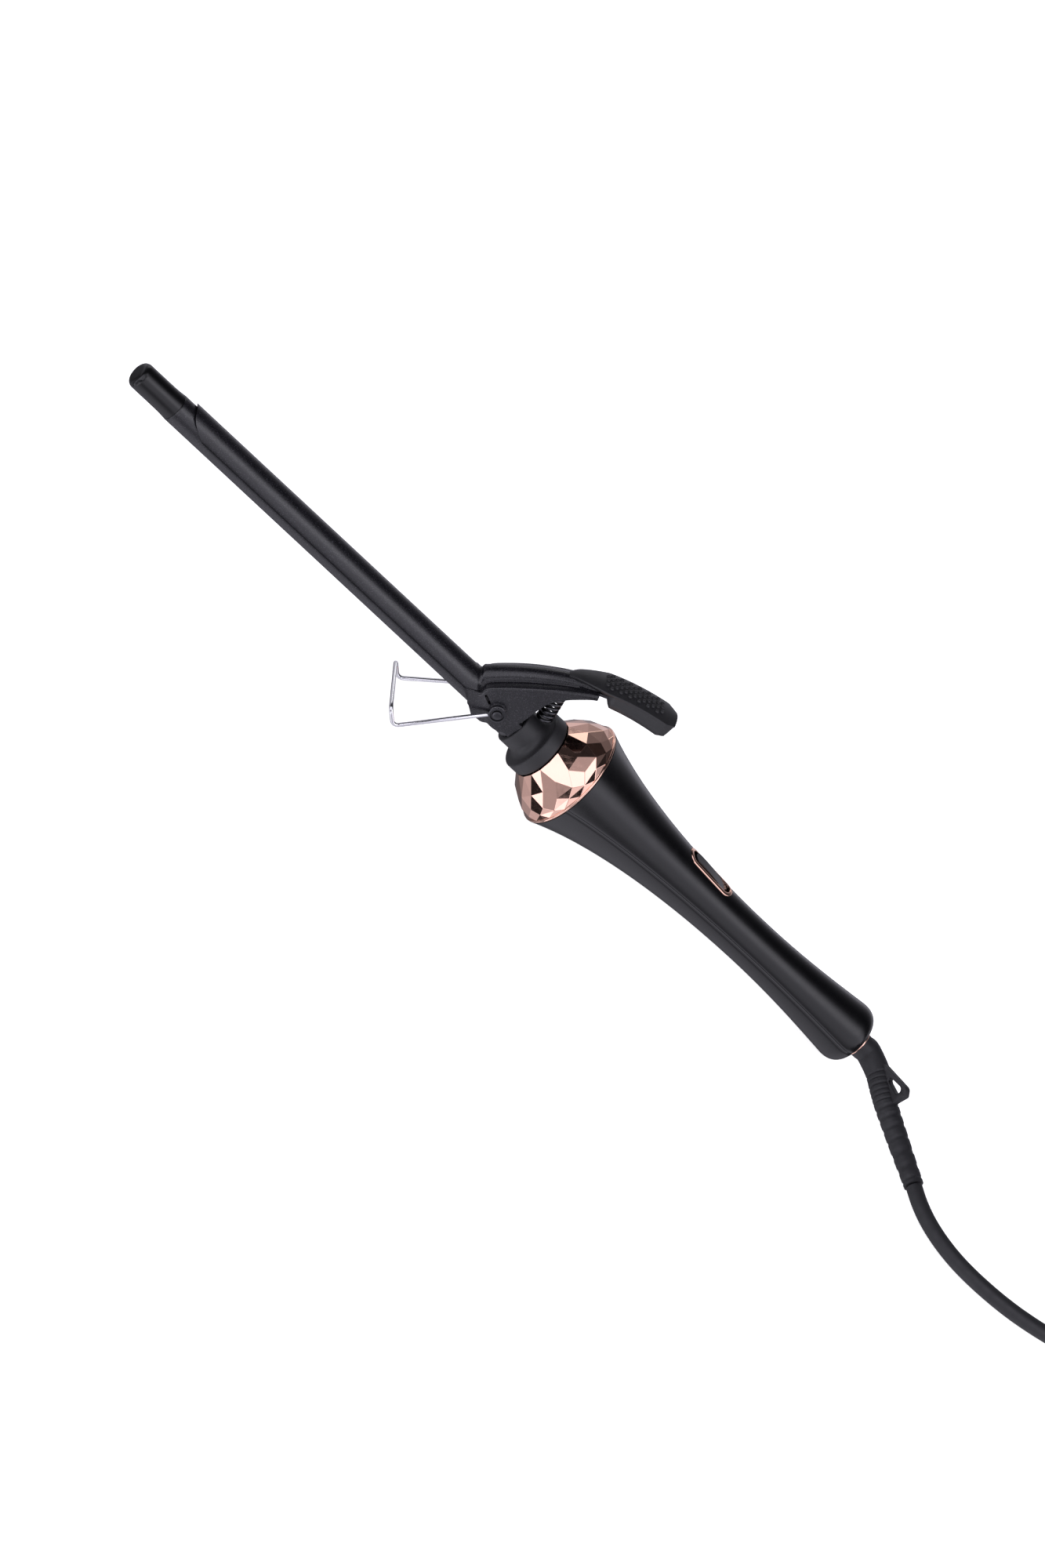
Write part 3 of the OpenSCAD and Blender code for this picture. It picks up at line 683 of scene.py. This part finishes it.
CREASE_AT, CREASE_WIDE, CREASE_DEEP = 0.02, 0.02, 1.3


def lever_at(t):
    (x, z), v = bezier(LEVER_CURVE, t), bezier_slope(LEVER_CURVE, t)
    return Vector((x, 0, z)), Vector((-v[1], 0, v[0]))


def across(origin, normal, shape):
    return [origin + Vector((0, y, 0)) + normal * h for y, h in shape]


def with_inside(line, thick):
    """Closed outline of a strip: the outer line, then the line one thickness inside it, back again."""
    line = [Vector(p) for p in line]
    inner = []
    for i, p in enumerate(line):
        d = (line[min(i + 1, len(line) - 1)] - line[max(i - 1, 0)]).normalized()
        inner.append(p + thick * Vector((d.y, -d.x)))
    return line + inner[::-1]


ARC_STEPS = 20


def pressed(half_width, ridge_half, ridge_high, depth):
    """Outer line of the sheet across the lever: side, rounded shoulder, groove, ridge and back."""
    h, w = -ridge_high, half_width
    left = [(-w, -depth), (-w, -(depth - ridge_high) * 0.5 + h), (-w, h - 1.4), (-w, h - 0.75), (-w + 0.22, h - 0.28),
            (-w + 0.6, h - 0.05), (-ridge_half - 0.25, h)]
    arc = [(-ridge_half * math.cos(math.pi * k / ARC_STEPS), h + ridge_high * math.sin(math.pi * k / ARC_STEPS))
           for k in range(1, ARC_STEPS)]
    return left + arc + [(-y, z) for y, z in reversed(left)]


def trough_line(drop):
    """The same run of points on the trough, where the shoulders have shrunk to nothing."""
    left = [(-TROUGH_R, -TROUGH_R - drop * k / 6) for k in range(6, -1, -1)]
    arc = [(-TROUGH_R * math.cos(math.pi * k / ARC_STEPS), -TROUGH_R + TROUGH_R * math.sin(math.pi * k / ARC_STEPS))
           for k in range(1, ARC_STEPS)]
    return left + arc + [(-y, z) for y, z in reversed(left)]


CLAMP_END = -182.6
TROUGH_LEN = 131.9
TROUGH_STEPS = 24
TROUGH_DROP = -0.5
LEVER_BEND = [0, 0.006, 0.012, 0.018, 0.024, 0.032, 0.042]
LEVER_STATIONS = LEVER_BEND + [0.055 + (RIDGE_END - 0.055) * i / 36 for i in range(37)]
SWEEP = 9.5


def clamp_stations():
    stations = []
    up = Vector((0, 0, 1))
    line = with_inside(trough_line(TROUGH_DROP), SHEET)
    for i in range(TROUGH_STEPS + 1):
        along = i / TROUGH_STEPS
        ring = across(Vector((CLAMP_END + TROUGH_LEN * along, 0, TROUGH_R)), up, line)
        # the front end sweeps back towards its lower corners
        back = SWEEP * (1 - along) ** 6
        stations.append([p + Vector((back * min(1.0, 1 - p.z / TROUGH_R) ** 1.7, 0, 0)) for p in ring])
    for t in LEVER_STATIONS:
        at, normal = lever_at(t)
        at -= normal * CREASE_DEEP * max(0.0, 1 - abs(t - CREASE_AT) / CREASE_WIDE)
        if t < 0.03:
            normal = (normal * (0.75 + 8 * t) + up * (0.25 - 8 * t)).normalized()
        shape = pressed(spline(HALF_WIDTH, t), spline(RIDGE_HALF, t), spline(RIDGE_HIGH, t), spline(SIDE_DEPTH, t))
        stations.append(across(at, normal, with_inside(shape, SHEET)))
    return stations


def make_clamp():
    points, faces = rings_to_faces(clamp_stations())
    sheet = place("clamp_sheet", points, faces, smooth_angle=42)
    loop = [Vector((x, 0, z)) for x, z in stadium(4.0, 0.9, 6)]
    lean = Matrix.Translation(EAR_SLOT) @ Matrix.Rotation(math.radians(20), 4, "Y")
    slot_rings = [[lean @ (p + Vector((0, y, 0))) for p in loop] for y in (-9, 9)]
    points, faces = rings_to_faces(slot_rings)
    cut(sheet, place("slot_cutter", points, faces))
    tongue_rings = []
    for i in range(15):
        at, normal = lever_at(0.56 + 0.38 * i / 14)
        tongue_rings.append(across(at, normal, [(-3.5, -1.9), (3.5, -1.9), (3.5, -2.9), (-3.5, -2.9)]))
    points, faces = rings_to_faces(tongue_rings)
    tongue = place("tongue", points, faces)
    clamp = joined([sheet, tongue], "clamp")
    soften(clamp, 42)
    bevel(clamp, 0.12, 2, 50)
    finish_piece(clamp, "clamp", "speckled_coating", "clamp_lever")


# ---- Thumb pad: a leaf-shaped plate with a pointed nose, and a thick body under its rear part ----

PAD_FROM = 0.5
PAD_CUT = 0.93
PAD_STATIONS = [i / 42 for i in range(39)] + [PAD_CUT, PAD_CUT + 0.003, 0.965, 1]
BODY_FROM, BODY_FULL = 0.36, 0.46
CROWN_STEPS = 12


def step(value, low, high):
    t = min(1.0, max(0.0, (value - low) / (high - low)))
    return t * t * (3 - 2 * t)


def pad_at(u):
    return lever_at(PAD_FROM + (1 - PAD_FROM) * u)


PAD_HALF = 5.9


def pad_half(u):
    """Half the plate's width: a nose that widens quickly, then long gentle sides and cut rear corners."""
    corner = 1 - 0.34 * max(0.0, (u - PAD_CUT) / (1 - PAD_CUT))
    return PAD_HALF * min(1.0, 0.1 + u / 0.42) ** 0.62 * (0.9 + 0.1 * u) * corner


def pad_edge(u):
    """Height of the plate's edge over the lever's top line."""
    return 0.75 - 0.75 * (1 - min(1.0, u / 0.12)) ** 2


def pad_crown(u, y):
    return pad_edge(u) + (0.35 + 0.6 * min(1.0, u / 0.3)) * (1 - (y / pad_half(u)) ** 2)


def pad_ring(u):
    """The crown from side to side, the plate's edge, a dark undercut, and the body below it."""
    half = pad_half(u)
    crown = [(half * math.sin(math.pi / 2 * (2 * k / CROWN_STEPS - 1)), 0) for k in range(CROWN_STEPS + 1)]
    crown = [(y, pad_crown(u, y)) for y, _ in crown]
    grown = step(u, BODY_FROM, BODY_FULL)
    thin = (1 - grown) * min(1.0, u / 0.15)
    edge = pad_edge(u)
    under = edge - 1.0 - 1.3 * thin
    body = (half - 1.7 * thin - 0.3) * (1 - 0.25 * (1 - grown))
    bottom = under - 0.3 - (4.6 + 0.6 * u) * grown
    side = [(half + 0.04, edge - 0.3), (half - 0.1, edge - 0.65), (half - 0.25 - 1.5 * thin, under),
            (body, under - 0.15), (body - 0.1, (under + bottom) / 2), (body - 0.35, bottom + 0.8 * grown),
            (body - 1.1, bottom)]
    return crown + side + [(-y, z) for y, z in reversed(side)]


def make_pad():
    rings = []
    for u in PAD_STATIONS:
        at, normal = pad_at(u)
        rings.append(across(at, normal, pad_ring(u)))
    points, faces = rings_to_faces(rings)
    pad = place("pad_moulding", points, faces, smooth_angle=38)
    bevel(pad, 0.25, 2, 40)
    finish_piece(pad, "clamp", "matte_black", "thumb_pad")


BUMP_ROWS = 13
BUMP_R = 0.75
BUMP_LEVELS = ((1, -0.1), (0.92, 0.28), (0.6, 0.52))
BUMP_SIDES = 12


def make_grip():
    """Staggered rows of small round bumps on the rear of the crown."""
    points, faces = [], []
    for row in range(BUMP_ROWS):
        u = 0.36 + 0.5 * row / (BUMP_ROWS - 1)
        at, normal = pad_at(u)
        slope = bezier_slope(LEVER_CURVE, PAD_FROM + (1 - PAD_FROM) * u)
        along = Vector((slope[0], 0, slope[1]))
        for y in ((-3.3, -1.1, 1.1, 3.3) if row % 2 else (-2.2, 0, 2.2)):
            base = at + normal * pad_crown(u, y) + Vector((0, y, 0))
            first = len(points)
            for share, height in BUMP_LEVELS:
                for k in range(BUMP_SIDES):
                    a = 2 * math.pi * k / BUMP_SIDES
                    out = math.cos(a) * along + Vector((0, math.sin(a), 0))
                    points.append(base + BUMP_R * share * out + normal * height)
            points.append(base + normal * 0.6)
            for level in range(len(BUMP_LEVELS) - 1):
                low, high = first + BUMP_SIDES * level, first + BUMP_SIDES * (level + 1)
                for k in range(BUMP_SIDES):
                    j = (k + 1) % BUMP_SIDES
                    faces.append((low + k, low + j, high + j, high + k))
            for k in range(BUMP_SIDES):
                faces.append((high + k, high + (k + 1) % BUMP_SIDES, len(points) - 1))
    finish_piece(place("grip_bumps", points, faces, smooth_angle=80), "clamp", "matte_black")


# ---- Pivot, spring and rest ----

SPRING_FROM = Vector((-21.8, 0, 8.6))
SPRING_TO = Vector((-26.6, 0, 20.4))
SPRING_R, SPRING_WIRE_R, SPRING_TURNS = 2.35, 0.6, 8
STEPS_A_COIL = 28


def make_spring():
    axis = SPRING_TO - SPRING_FROM
    length = axis.length
    axis.normalize()
    side = Vector((0, 1, 0))
    front = side.cross(axis)
    line = []
    steps = SPRING_TURNS * STEPS_A_COIL
    for i in range(steps + 1):
        a = 2 * math.pi * i / STEPS_A_COIL
        share = i / steps
        # the end turns lie flat
        rise = min(1.0, max(0.0, (share - 0.08) / 0.84))
        line.append(SPRING_FROM + SPRING_R * (math.cos(a) * front + math.sin(a) * side)
                    + axis * (0.45 + (length - 0.9) * rise))
    spring = tube("return_spring", line, SPRING_WIRE_R, 10)
    finish_piece(spring, "iron", "spring_steel", "clamp_spring")
    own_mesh(spring)


def turned_y(outline, y_side, sides=40):
    """An outline of (distance out, radius) turned about the pivot's axis, on one side."""
    rings = []
    for y, r in outline:
        rings.append([(PIVOT.x + r * math.cos(2 * math.pi * k / sides), y * y_side,
                       PIVOT.z + r * math.sin(2 * math.pi * k / sides)) for k in range(sides)])
    return rings_to_faces(rings)


RIVET_HEAD_Y = 8.75


def make_rivets():
    parts = []
    for side in (-1, 1):
        outline = [(5.2, 1.2), (RIVET_HEAD_Y - 0.02, 1.2), (RIVET_HEAD_Y, 2.75), (RIVET_HEAD_Y + 0.15, 2.9),
                   (RIVET_HEAD_Y + 0.32, 2.85), (RIVET_HEAD_Y + 0.42, 2.5), (RIVET_HEAD_Y + 0.42, 2.25),
                   (RIVET_HEAD_Y + 0.05, 2.1), (RIVET_HEAD_Y + 0.05, 1.7), (RIVET_HEAD_Y + 0.5, 1.5),
                   (RIVET_HEAD_Y + 0.65, 1.1), (RIVET_HEAD_Y + 0.69, 0.6)]
        points, faces = turned_y(outline, side)
        parts.append(place("rivet", points, faces))
    rivets = joined(parts, "rivets")
    soften(rivets, 40)
    finish_piece(rivets, "iron", "spring_steel", "pivot_rivets")


WIRE_R = 0.7
EYE_R = 1.95
EYE_Y = 8.0
FOOT = Vector((-57, -13, -23.7))
BAR = Vector((-62.5, -13, -19.4))
CORNER_R = 2.4


def rounded_line(points, radius, steps=8):
    line = [points[0]]
    for a, b, c in zip(points, points[1:], points[2:]):
        start = b + radius * (a - b).normalized()
        end = b + radius * (c - b).normalized()
        for k in range(steps + 1):
            t = k / steps
            line.append((1 - t) ** 2 * start + 2 * t * (1 - t) * b + t * t * end)
    return line + [points[-1]]


def make_rest():
    """Bright wire: an eye round each rivet, two legs, turned-up feet and a crossbar."""
    leg = Vector((FOOT.x, 0, FOOT.z)) - PIVOT
    leg.normalize()
    first = math.atan2(leg.z, leg.x)
    eye_centre = Vector((PIVOT.x, -EYE_Y, PIVOT.z))
    eye = []
    for k in range(40):
        a = first + math.radians(325 - 325 * k / 39)
        eye.append(eye_centre + EYE_R * Vector((math.cos(a), 0, math.sin(a))))
    body = rounded_line([eye[-1], FOOT, BAR, Vector((BAR.x, 0, BAR.z))], CORNER_R)
    half = eye[:-1] + body
    other = [Vector((p.x, -p.y, p.z)) for p in reversed(half[:-1])]
    rest = tube("rest_wire", half + other, WIRE_R, 14, smooth_angle=60)
    finish_piece(rest, "rest", "bright_wire", "stand_wire")


# ---- Boot with its hanging eye ----

BOOT_R = 4.45
BOOT_END_R = 3.25
BOOT_ROUTE = [(181.5, -4.6, 8.7), (185, -10.3, 7.6), (188.5, -15.5, 6.6), (196, -25.5, 5), (204.6, -38.8, 3.9)]
FIN_AT = Vector(BOOT_ROUTE[1])
BOOT_MOUTH = (127, 132, 137, 140.5, 143)


def make_boot():
    """The boot from the handle's mouth along the start of the lead, joined with its fin into one piece."""
    mouth = [tuple((LAID @ Vector((x, 0, 0))) / MM) for x in BOOT_MOUTH]
    line = smooth_line([*mouth, *BOOT_ROUTE], 9)
    run = [0.0]
    for a, b in zip(line, line[1:]):
        run.append(run[-1] + (b - a).length)
    total = run[-1]

    def radius(share):
        s = run[round(share * (len(line) - 1))] / total
        return BOOT_R - (BOOT_R - BOOT_END_R) * s**1.2

    dense = smooth_line(line, 3)
    parts = [tube("boot_tube", dense, lambda share: ribbed(share, total, radius(share)), 28, ON_SURFACE, 60)]
    parts.append(make_fin())
    boot = joined(parts, "cord_boot_skin")
    soften(boot, 40)
    dress(boot, "cord_rubber", "cord_boot")
    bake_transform(boot)
    return boot


RIBS_FROM = 0.56
RIB_PITCH = 2.2


def ribbed(share, total, radius):
    """Cuts shallow rings into the boot's last third."""
    if share < RIBS_FROM or share > 0.985:
        return radius
    along = (share - RIBS_FROM) * total
    return radius - 0.2 * (math.sin(math.pi * along / RIB_PITCH) ** 2 > 0.75)


def hull_loop(circles, count=40):
    """Outline round a few circles, as a rubber band would lie, by its support in each direction."""
    loop = []
    for k in range(count):
        a = 2 * math.pi * k / count
        d = Vector((math.cos(a), math.sin(a)))
        x, y, r = max(circles, key=lambda c: c[0] * d.x + c[1] * d.y + c[2])
        loop.append((x + r * d.x, y + r * d.y))
    return loop


FIN_HALF = 1.2


def make_fin():
    a, c = Vector(BOOT_ROUTE[0]), Vector(BOOT_ROUTE[2])
    turn = math.atan2(c.y - a.y, c.x - a.x)
    outer = hull_loop([(-9.3, 3.4, 0.9), (-4, 0.5, 0.8), (5.2, 7.1, 2.0), (7.0, 7.2, 0.8), (6.2, 1.5, 0.7)])
    inner = hull_loop([(-0.4, 5.0, 0.75), (3.9, 6.0, 1.35)])
    points, faces = [], []
    for y in (-FIN_HALF, FIN_HALF):
        for loop in (outer, inner):
            for u, v in loop:
                points.append(FIN_AT + Vector((u * math.cos(turn) - y * math.sin(turn),
                                               u * math.sin(turn) + y * math.cos(turn), v)))
    n = len(outer)
    for k in range(n):
        j = (k + 1) % n
        faces.append((k, j, n + j, n + k))
        faces.append((2 * n + k, 2 * n + j, 3 * n + j, 3 * n + k))
        faces.append((k, j, 2 * n + j, 2 * n + k))
        faces.append((n + k, n + j, 3 * n + j, 3 * n + k))
    fin = place("fin", points, faces, ON_SURFACE)
    bevel(fin, 0.35, 3, 50)
    return applied(fin)


# ---- Plug and tie ----

PLUG_AT = Vector((354, 14, 6.9))
PLUG_LEN, PLUG_T = 35, 13.6
PIN_GAP = 18.6
PIN_SLEEVE_R = 2.08


def make_plug():
    outline = [(-5.4, 6.5), (5.4, 6.5), (14, 16.5), (17, 21), (17, 33.8), (15.8, 35), (-15.8, 35), (-17, 33.8),
               (-17, 21), (-14, 16.5)]
    middle = Vector((0, 22))
    rings = []
    for height, inset in ((-1, 1.4), (-0.86, 0.4), (-0.6, 0), (0.6, 0), (0.86, 0.4), (1, 1.4)):
        ring = []
        for x, y in outline:
            d = Vector((x, y)) - middle
            d = d * (1 - inset / d.length)
            ring.append(PLUG_AT + Vector((d.x, middle.y + d.y, height * PLUG_T / 2)))
        rings.append(ring)
    points, faces = rings_to_faces(rings)
    shell = place("plug_shell", points, faces, ON_SURFACE, 25)
    bevel(shell, 0.8, 3, 25)
    applied(shell)
    neck = [PLUG_AT + Vector((0, 0.15 * k, 0)) for k in range(54)]
    sleeve = tube("plug_neck", neck, lambda s: 3.7 + 1.5 * s - 0.4 * (math.sin(16 * s) > 0.2), 28, ON_SURFACE)
    plug = joined([shell, sleeve], "plug_moulding")
    soften(plug, 35)
    finish_piece(plug, "iron", "cord_rubber", "plug_body")
    sleeves = []
    for side in (-1, 1):
        start = PLUG_AT + Vector((side * PIN_GAP / 2, PLUG_LEN - 0.4, 0))
        line = [start + Vector((0, 0.9 * k, 0)) for k in range(11)]
        sleeves.append(tube("pin_sleeve", line, PIN_SLEEVE_R, 28, ON_SURFACE))
    pin_sleeves = joined(sleeves, "pin_sleeves")
    finish_piece(pin_sleeves, "iron", "cord_rubber")
    return plug, pin_sleeves


TIE_AT = math.radians(150)
TIE_FROM_MIDDLE = 28.4
TIE_W, TIE_T = 9, 0.8


def make_tie():
    """Strap round the bundle of turns, which is three cords wide and high."""
    out = Vector((math.cos(TIE_AT), math.sin(TIE_AT), 0))
    along = Vector((-out.y, out.x, 0))
    half = 1.5 * CORD_D
    centre = COIL_AT + out * TIE_FROM_MIDDLE + Vector((0, 0, half))
    rings = []
    for k in range(65):
        a = 2 * math.pi * k / 64
        c, s = math.cos(a), math.sin(a)
        ring = []
        for thick, side in ((0.05, -1), (TIE_T, -1), (TIE_T, 1), (0.05, 1)):
            y = (half + thick) * math.copysign(abs(c) ** 0.25, c)
            z = (half + thick) * math.copysign(abs(s) ** 0.25, s)
            ring.append(centre + out * y + Vector((0, 0, z)) + along * (side * TIE_W / 2))
        rings.append(ring)
    points, faces = rings_to_faces(rings, caps=False)
    tie = place("coil_tie", points, faces, ON_SURFACE, 40)
    finish_piece(tie, "iron", "tie_fabric", "cord_tie")
    return tie


# ---- Studio ----

FLOOR_HALF = 6.0
FLOOR_GAP = 0.0003


def make_floor():
    """White table. It shines a little by itself, so that it stays white right under the iron."""
    corners = [(FLOOR_HALF * x, FLOOR_HALF * y, 0) for x, y in ((-1, -1), (1, -1), (1, 1), (-1, 1))]
    floor = place("floor", corners, [(0, 1, 2, 3)], Matrix.Translation((0, 0, -FLOOR_GAP)))
    look = Look("floor", (0.9, 0.9, 0.9), 0.6)
    look.set("Emission Color", (1, 1, 1, 1))
    look.set("Emission Strength", 0.86)
    look.roughness(look.ramp(look.noise(40, 2), 0.3, 0.7, 0.55, 0.7))
    floor.data.materials.append(look.material)
    floor.visible_glossy = False


# Radiance of the room by direction round the iron's axis, in degrees up from the front:
# white table, its darker far edge, bright wall and soft box, black ceiling, low band at the back
ROOM = [(-180, 0.7), (-168, 0.35), (-152, 0.12), (-125, 0.15), (-100, 0.5), (-78, 0.75), (-57, 0.9), (-40, 0.75),
        (-22, 0.3), (-11, 0.45), (2, 0.95), (28, 1.1), (42, 1.6), (54, 1.6), (66, 1.0), (79, 0.12), (95, 0.02),
        (113, 0.04), (131, 0.12), (156, 0.35), (170, 0.7), (180, 0.7)]
# Towards the tip and the front the wall is broken up by random panels. Each pair gives the random number
# from which a panel has that radiance
PANELS = [(0, 0.02), (0.17, 0.45), (0.36, 1.1), (0.6, 1.7)]
PANEL_SCALE = 2.6
PANELS_BELOW_X = 0.05
PANELS_LIT_BELOW_Y = -0.2
UNLIT = (0.01, 0.01, 0.01, 1)
ROOM_TINT = (0.97, 0.95, 1.07, 1)
ROOM_STRENGTH = 2.0


def fill_ramp(ramp, table):
    """Grey stops from (position, radiance) pairs."""
    for i, (position, level) in enumerate(table):
        stop = ramp.elements[i] if i < 2 else ramp.elements.new(position)
        stop.position = position
        grey = level / ROOM_STRENGTH
        stop.color = (grey, grey, grey, 1)


def make_surroundings():
    world = bpy.data.worlds.new("studio")
    world.use_nodes = True
    nodes, links = world.node_tree.nodes, world.node_tree.links

    def feed(socket, value):
        if isinstance(value, bpy.types.NodeSocket):
            links.new(value, socket)
        else:
            socket.default_value = value

    def maths(operation, *values):
        node = nodes.new("ShaderNodeMath")
        node.operation = operation
        for socket, value in zip(node.inputs, values):
            feed(socket, value)
        return node.outputs[0]

    def mixed(factor, first, second, blend_type="MIX"):
        node = nodes.new("ShaderNodeMix")
        node.data_type = "RGBA"
        node.blend_type = blend_type
        feed(node.inputs["Factor"], factor)
        feed(node.inputs[6], first)
        feed(node.inputs[7], second)
        return node.outputs[2]

    around = nodes.new("ShaderNodeTexCoord").outputs["Generated"]
    split = nodes.new("ShaderNodeSeparateXYZ")
    feed(split.inputs[0], around)
    x, y, z = split.outputs

    turn = maths("ARCTAN2", z, maths("MULTIPLY", y, -1.0))
    walls = nodes.new("ShaderNodeValToRGB")
    feed(walls.inputs[0], maths("MULTIPLY_ADD", turn, 0.5 / math.pi, 0.5))
    fill_ramp(walls.color_ramp, [(degrees / 360 + 0.5, level) for degrees, level in ROOM])

    cells = nodes.new("ShaderNodeTexVoronoi")
    cells.inputs["Scale"].default_value = PANEL_SCALE
    feed(cells.inputs["Vector"], around)
    tone = nodes.new("ShaderNodeSeparateColor")
    feed(tone.inputs[0], cells.outputs["Color"])
    panels = nodes.new("ShaderNodeValToRGB")
    panels.color_ramp.interpolation = "CONSTANT"
    feed(panels.inputs[0], tone.outputs[0])
    fill_ramp(panels.color_ramp, PANELS)

    ahead = maths("MULTIPLY", maths("LESS_THAN", x, PANELS_BELOW_X), maths("LESS_THAN", y, 0.0))
    lit_panels = mixed(maths("LESS_THAN", y, PANELS_LIT_BELOW_Y), UNLIT, panels.outputs["Color"])
    room = mixed(ahead, walls.outputs["Color"], lit_panels)
    background = nodes["Background"]
    feed(background.inputs["Color"], mixed(1.0, room, ROOM_TINT, "MULTIPLY"))
    feed(background.inputs["Strength"], ROOM_STRENGTH)
    bpy.context.scene.world = world


def make_light(name, direction, away, size, watts):
    data = bpy.data.lights.new(name, "AREA")
    data.shape = "RECTANGLE"
    data.size, data.size_y = size
    data.energy = watts
    light = bpy.data.objects.new(name, data)
    light.location = Vector(direction).normalized() * away
    light.rotation_mode = "QUATERNION"
    light.rotation_quaternion = light.location.to_track_quat("Z", "Y")
    light.visible_camera = False
    bpy.context.collection.objects.link(light)


def make_studio():
    make_floor()
    make_surroundings()
    make_light("key", (0.4, -0.58, 0.71), 1.5, (1.0, 0.5), 0.7)
    make_light("back", (-0.2, 0.8, 0.55), 1.6, (1.2, 0.3), 1.2)
    bpy.context.scene.view_settings.view_transform = "Standard"


# ---- Everything together ----

make_barrel()
make_tip()
make_neck()
make_rings()
make_dome()
make_handle()
make_bezel()
make_clamp()
make_pad()
make_grip()
make_spring()
make_rivets()
make_rest()
boot = make_boot()
plug, pin_sleeves = make_plug()
tie = make_tie()
make_studio()

for part in frame["record"]["subparts"]:
    node = frame["nodes"][part["node"]]
    node.data.materials.clear()
    node.data.materials.append(LOOKS[part["material_slot"]])

bevel(frame["nodes"]["switch_rocker"], 0.25, 2, 40)
bevel(frame["nodes"]["hinge_bracket"], 0.2, 2, 40)
bevel(frame["nodes"]["plug_pins"], 0.5, 3, 60)

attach(mains_cord, "iron")
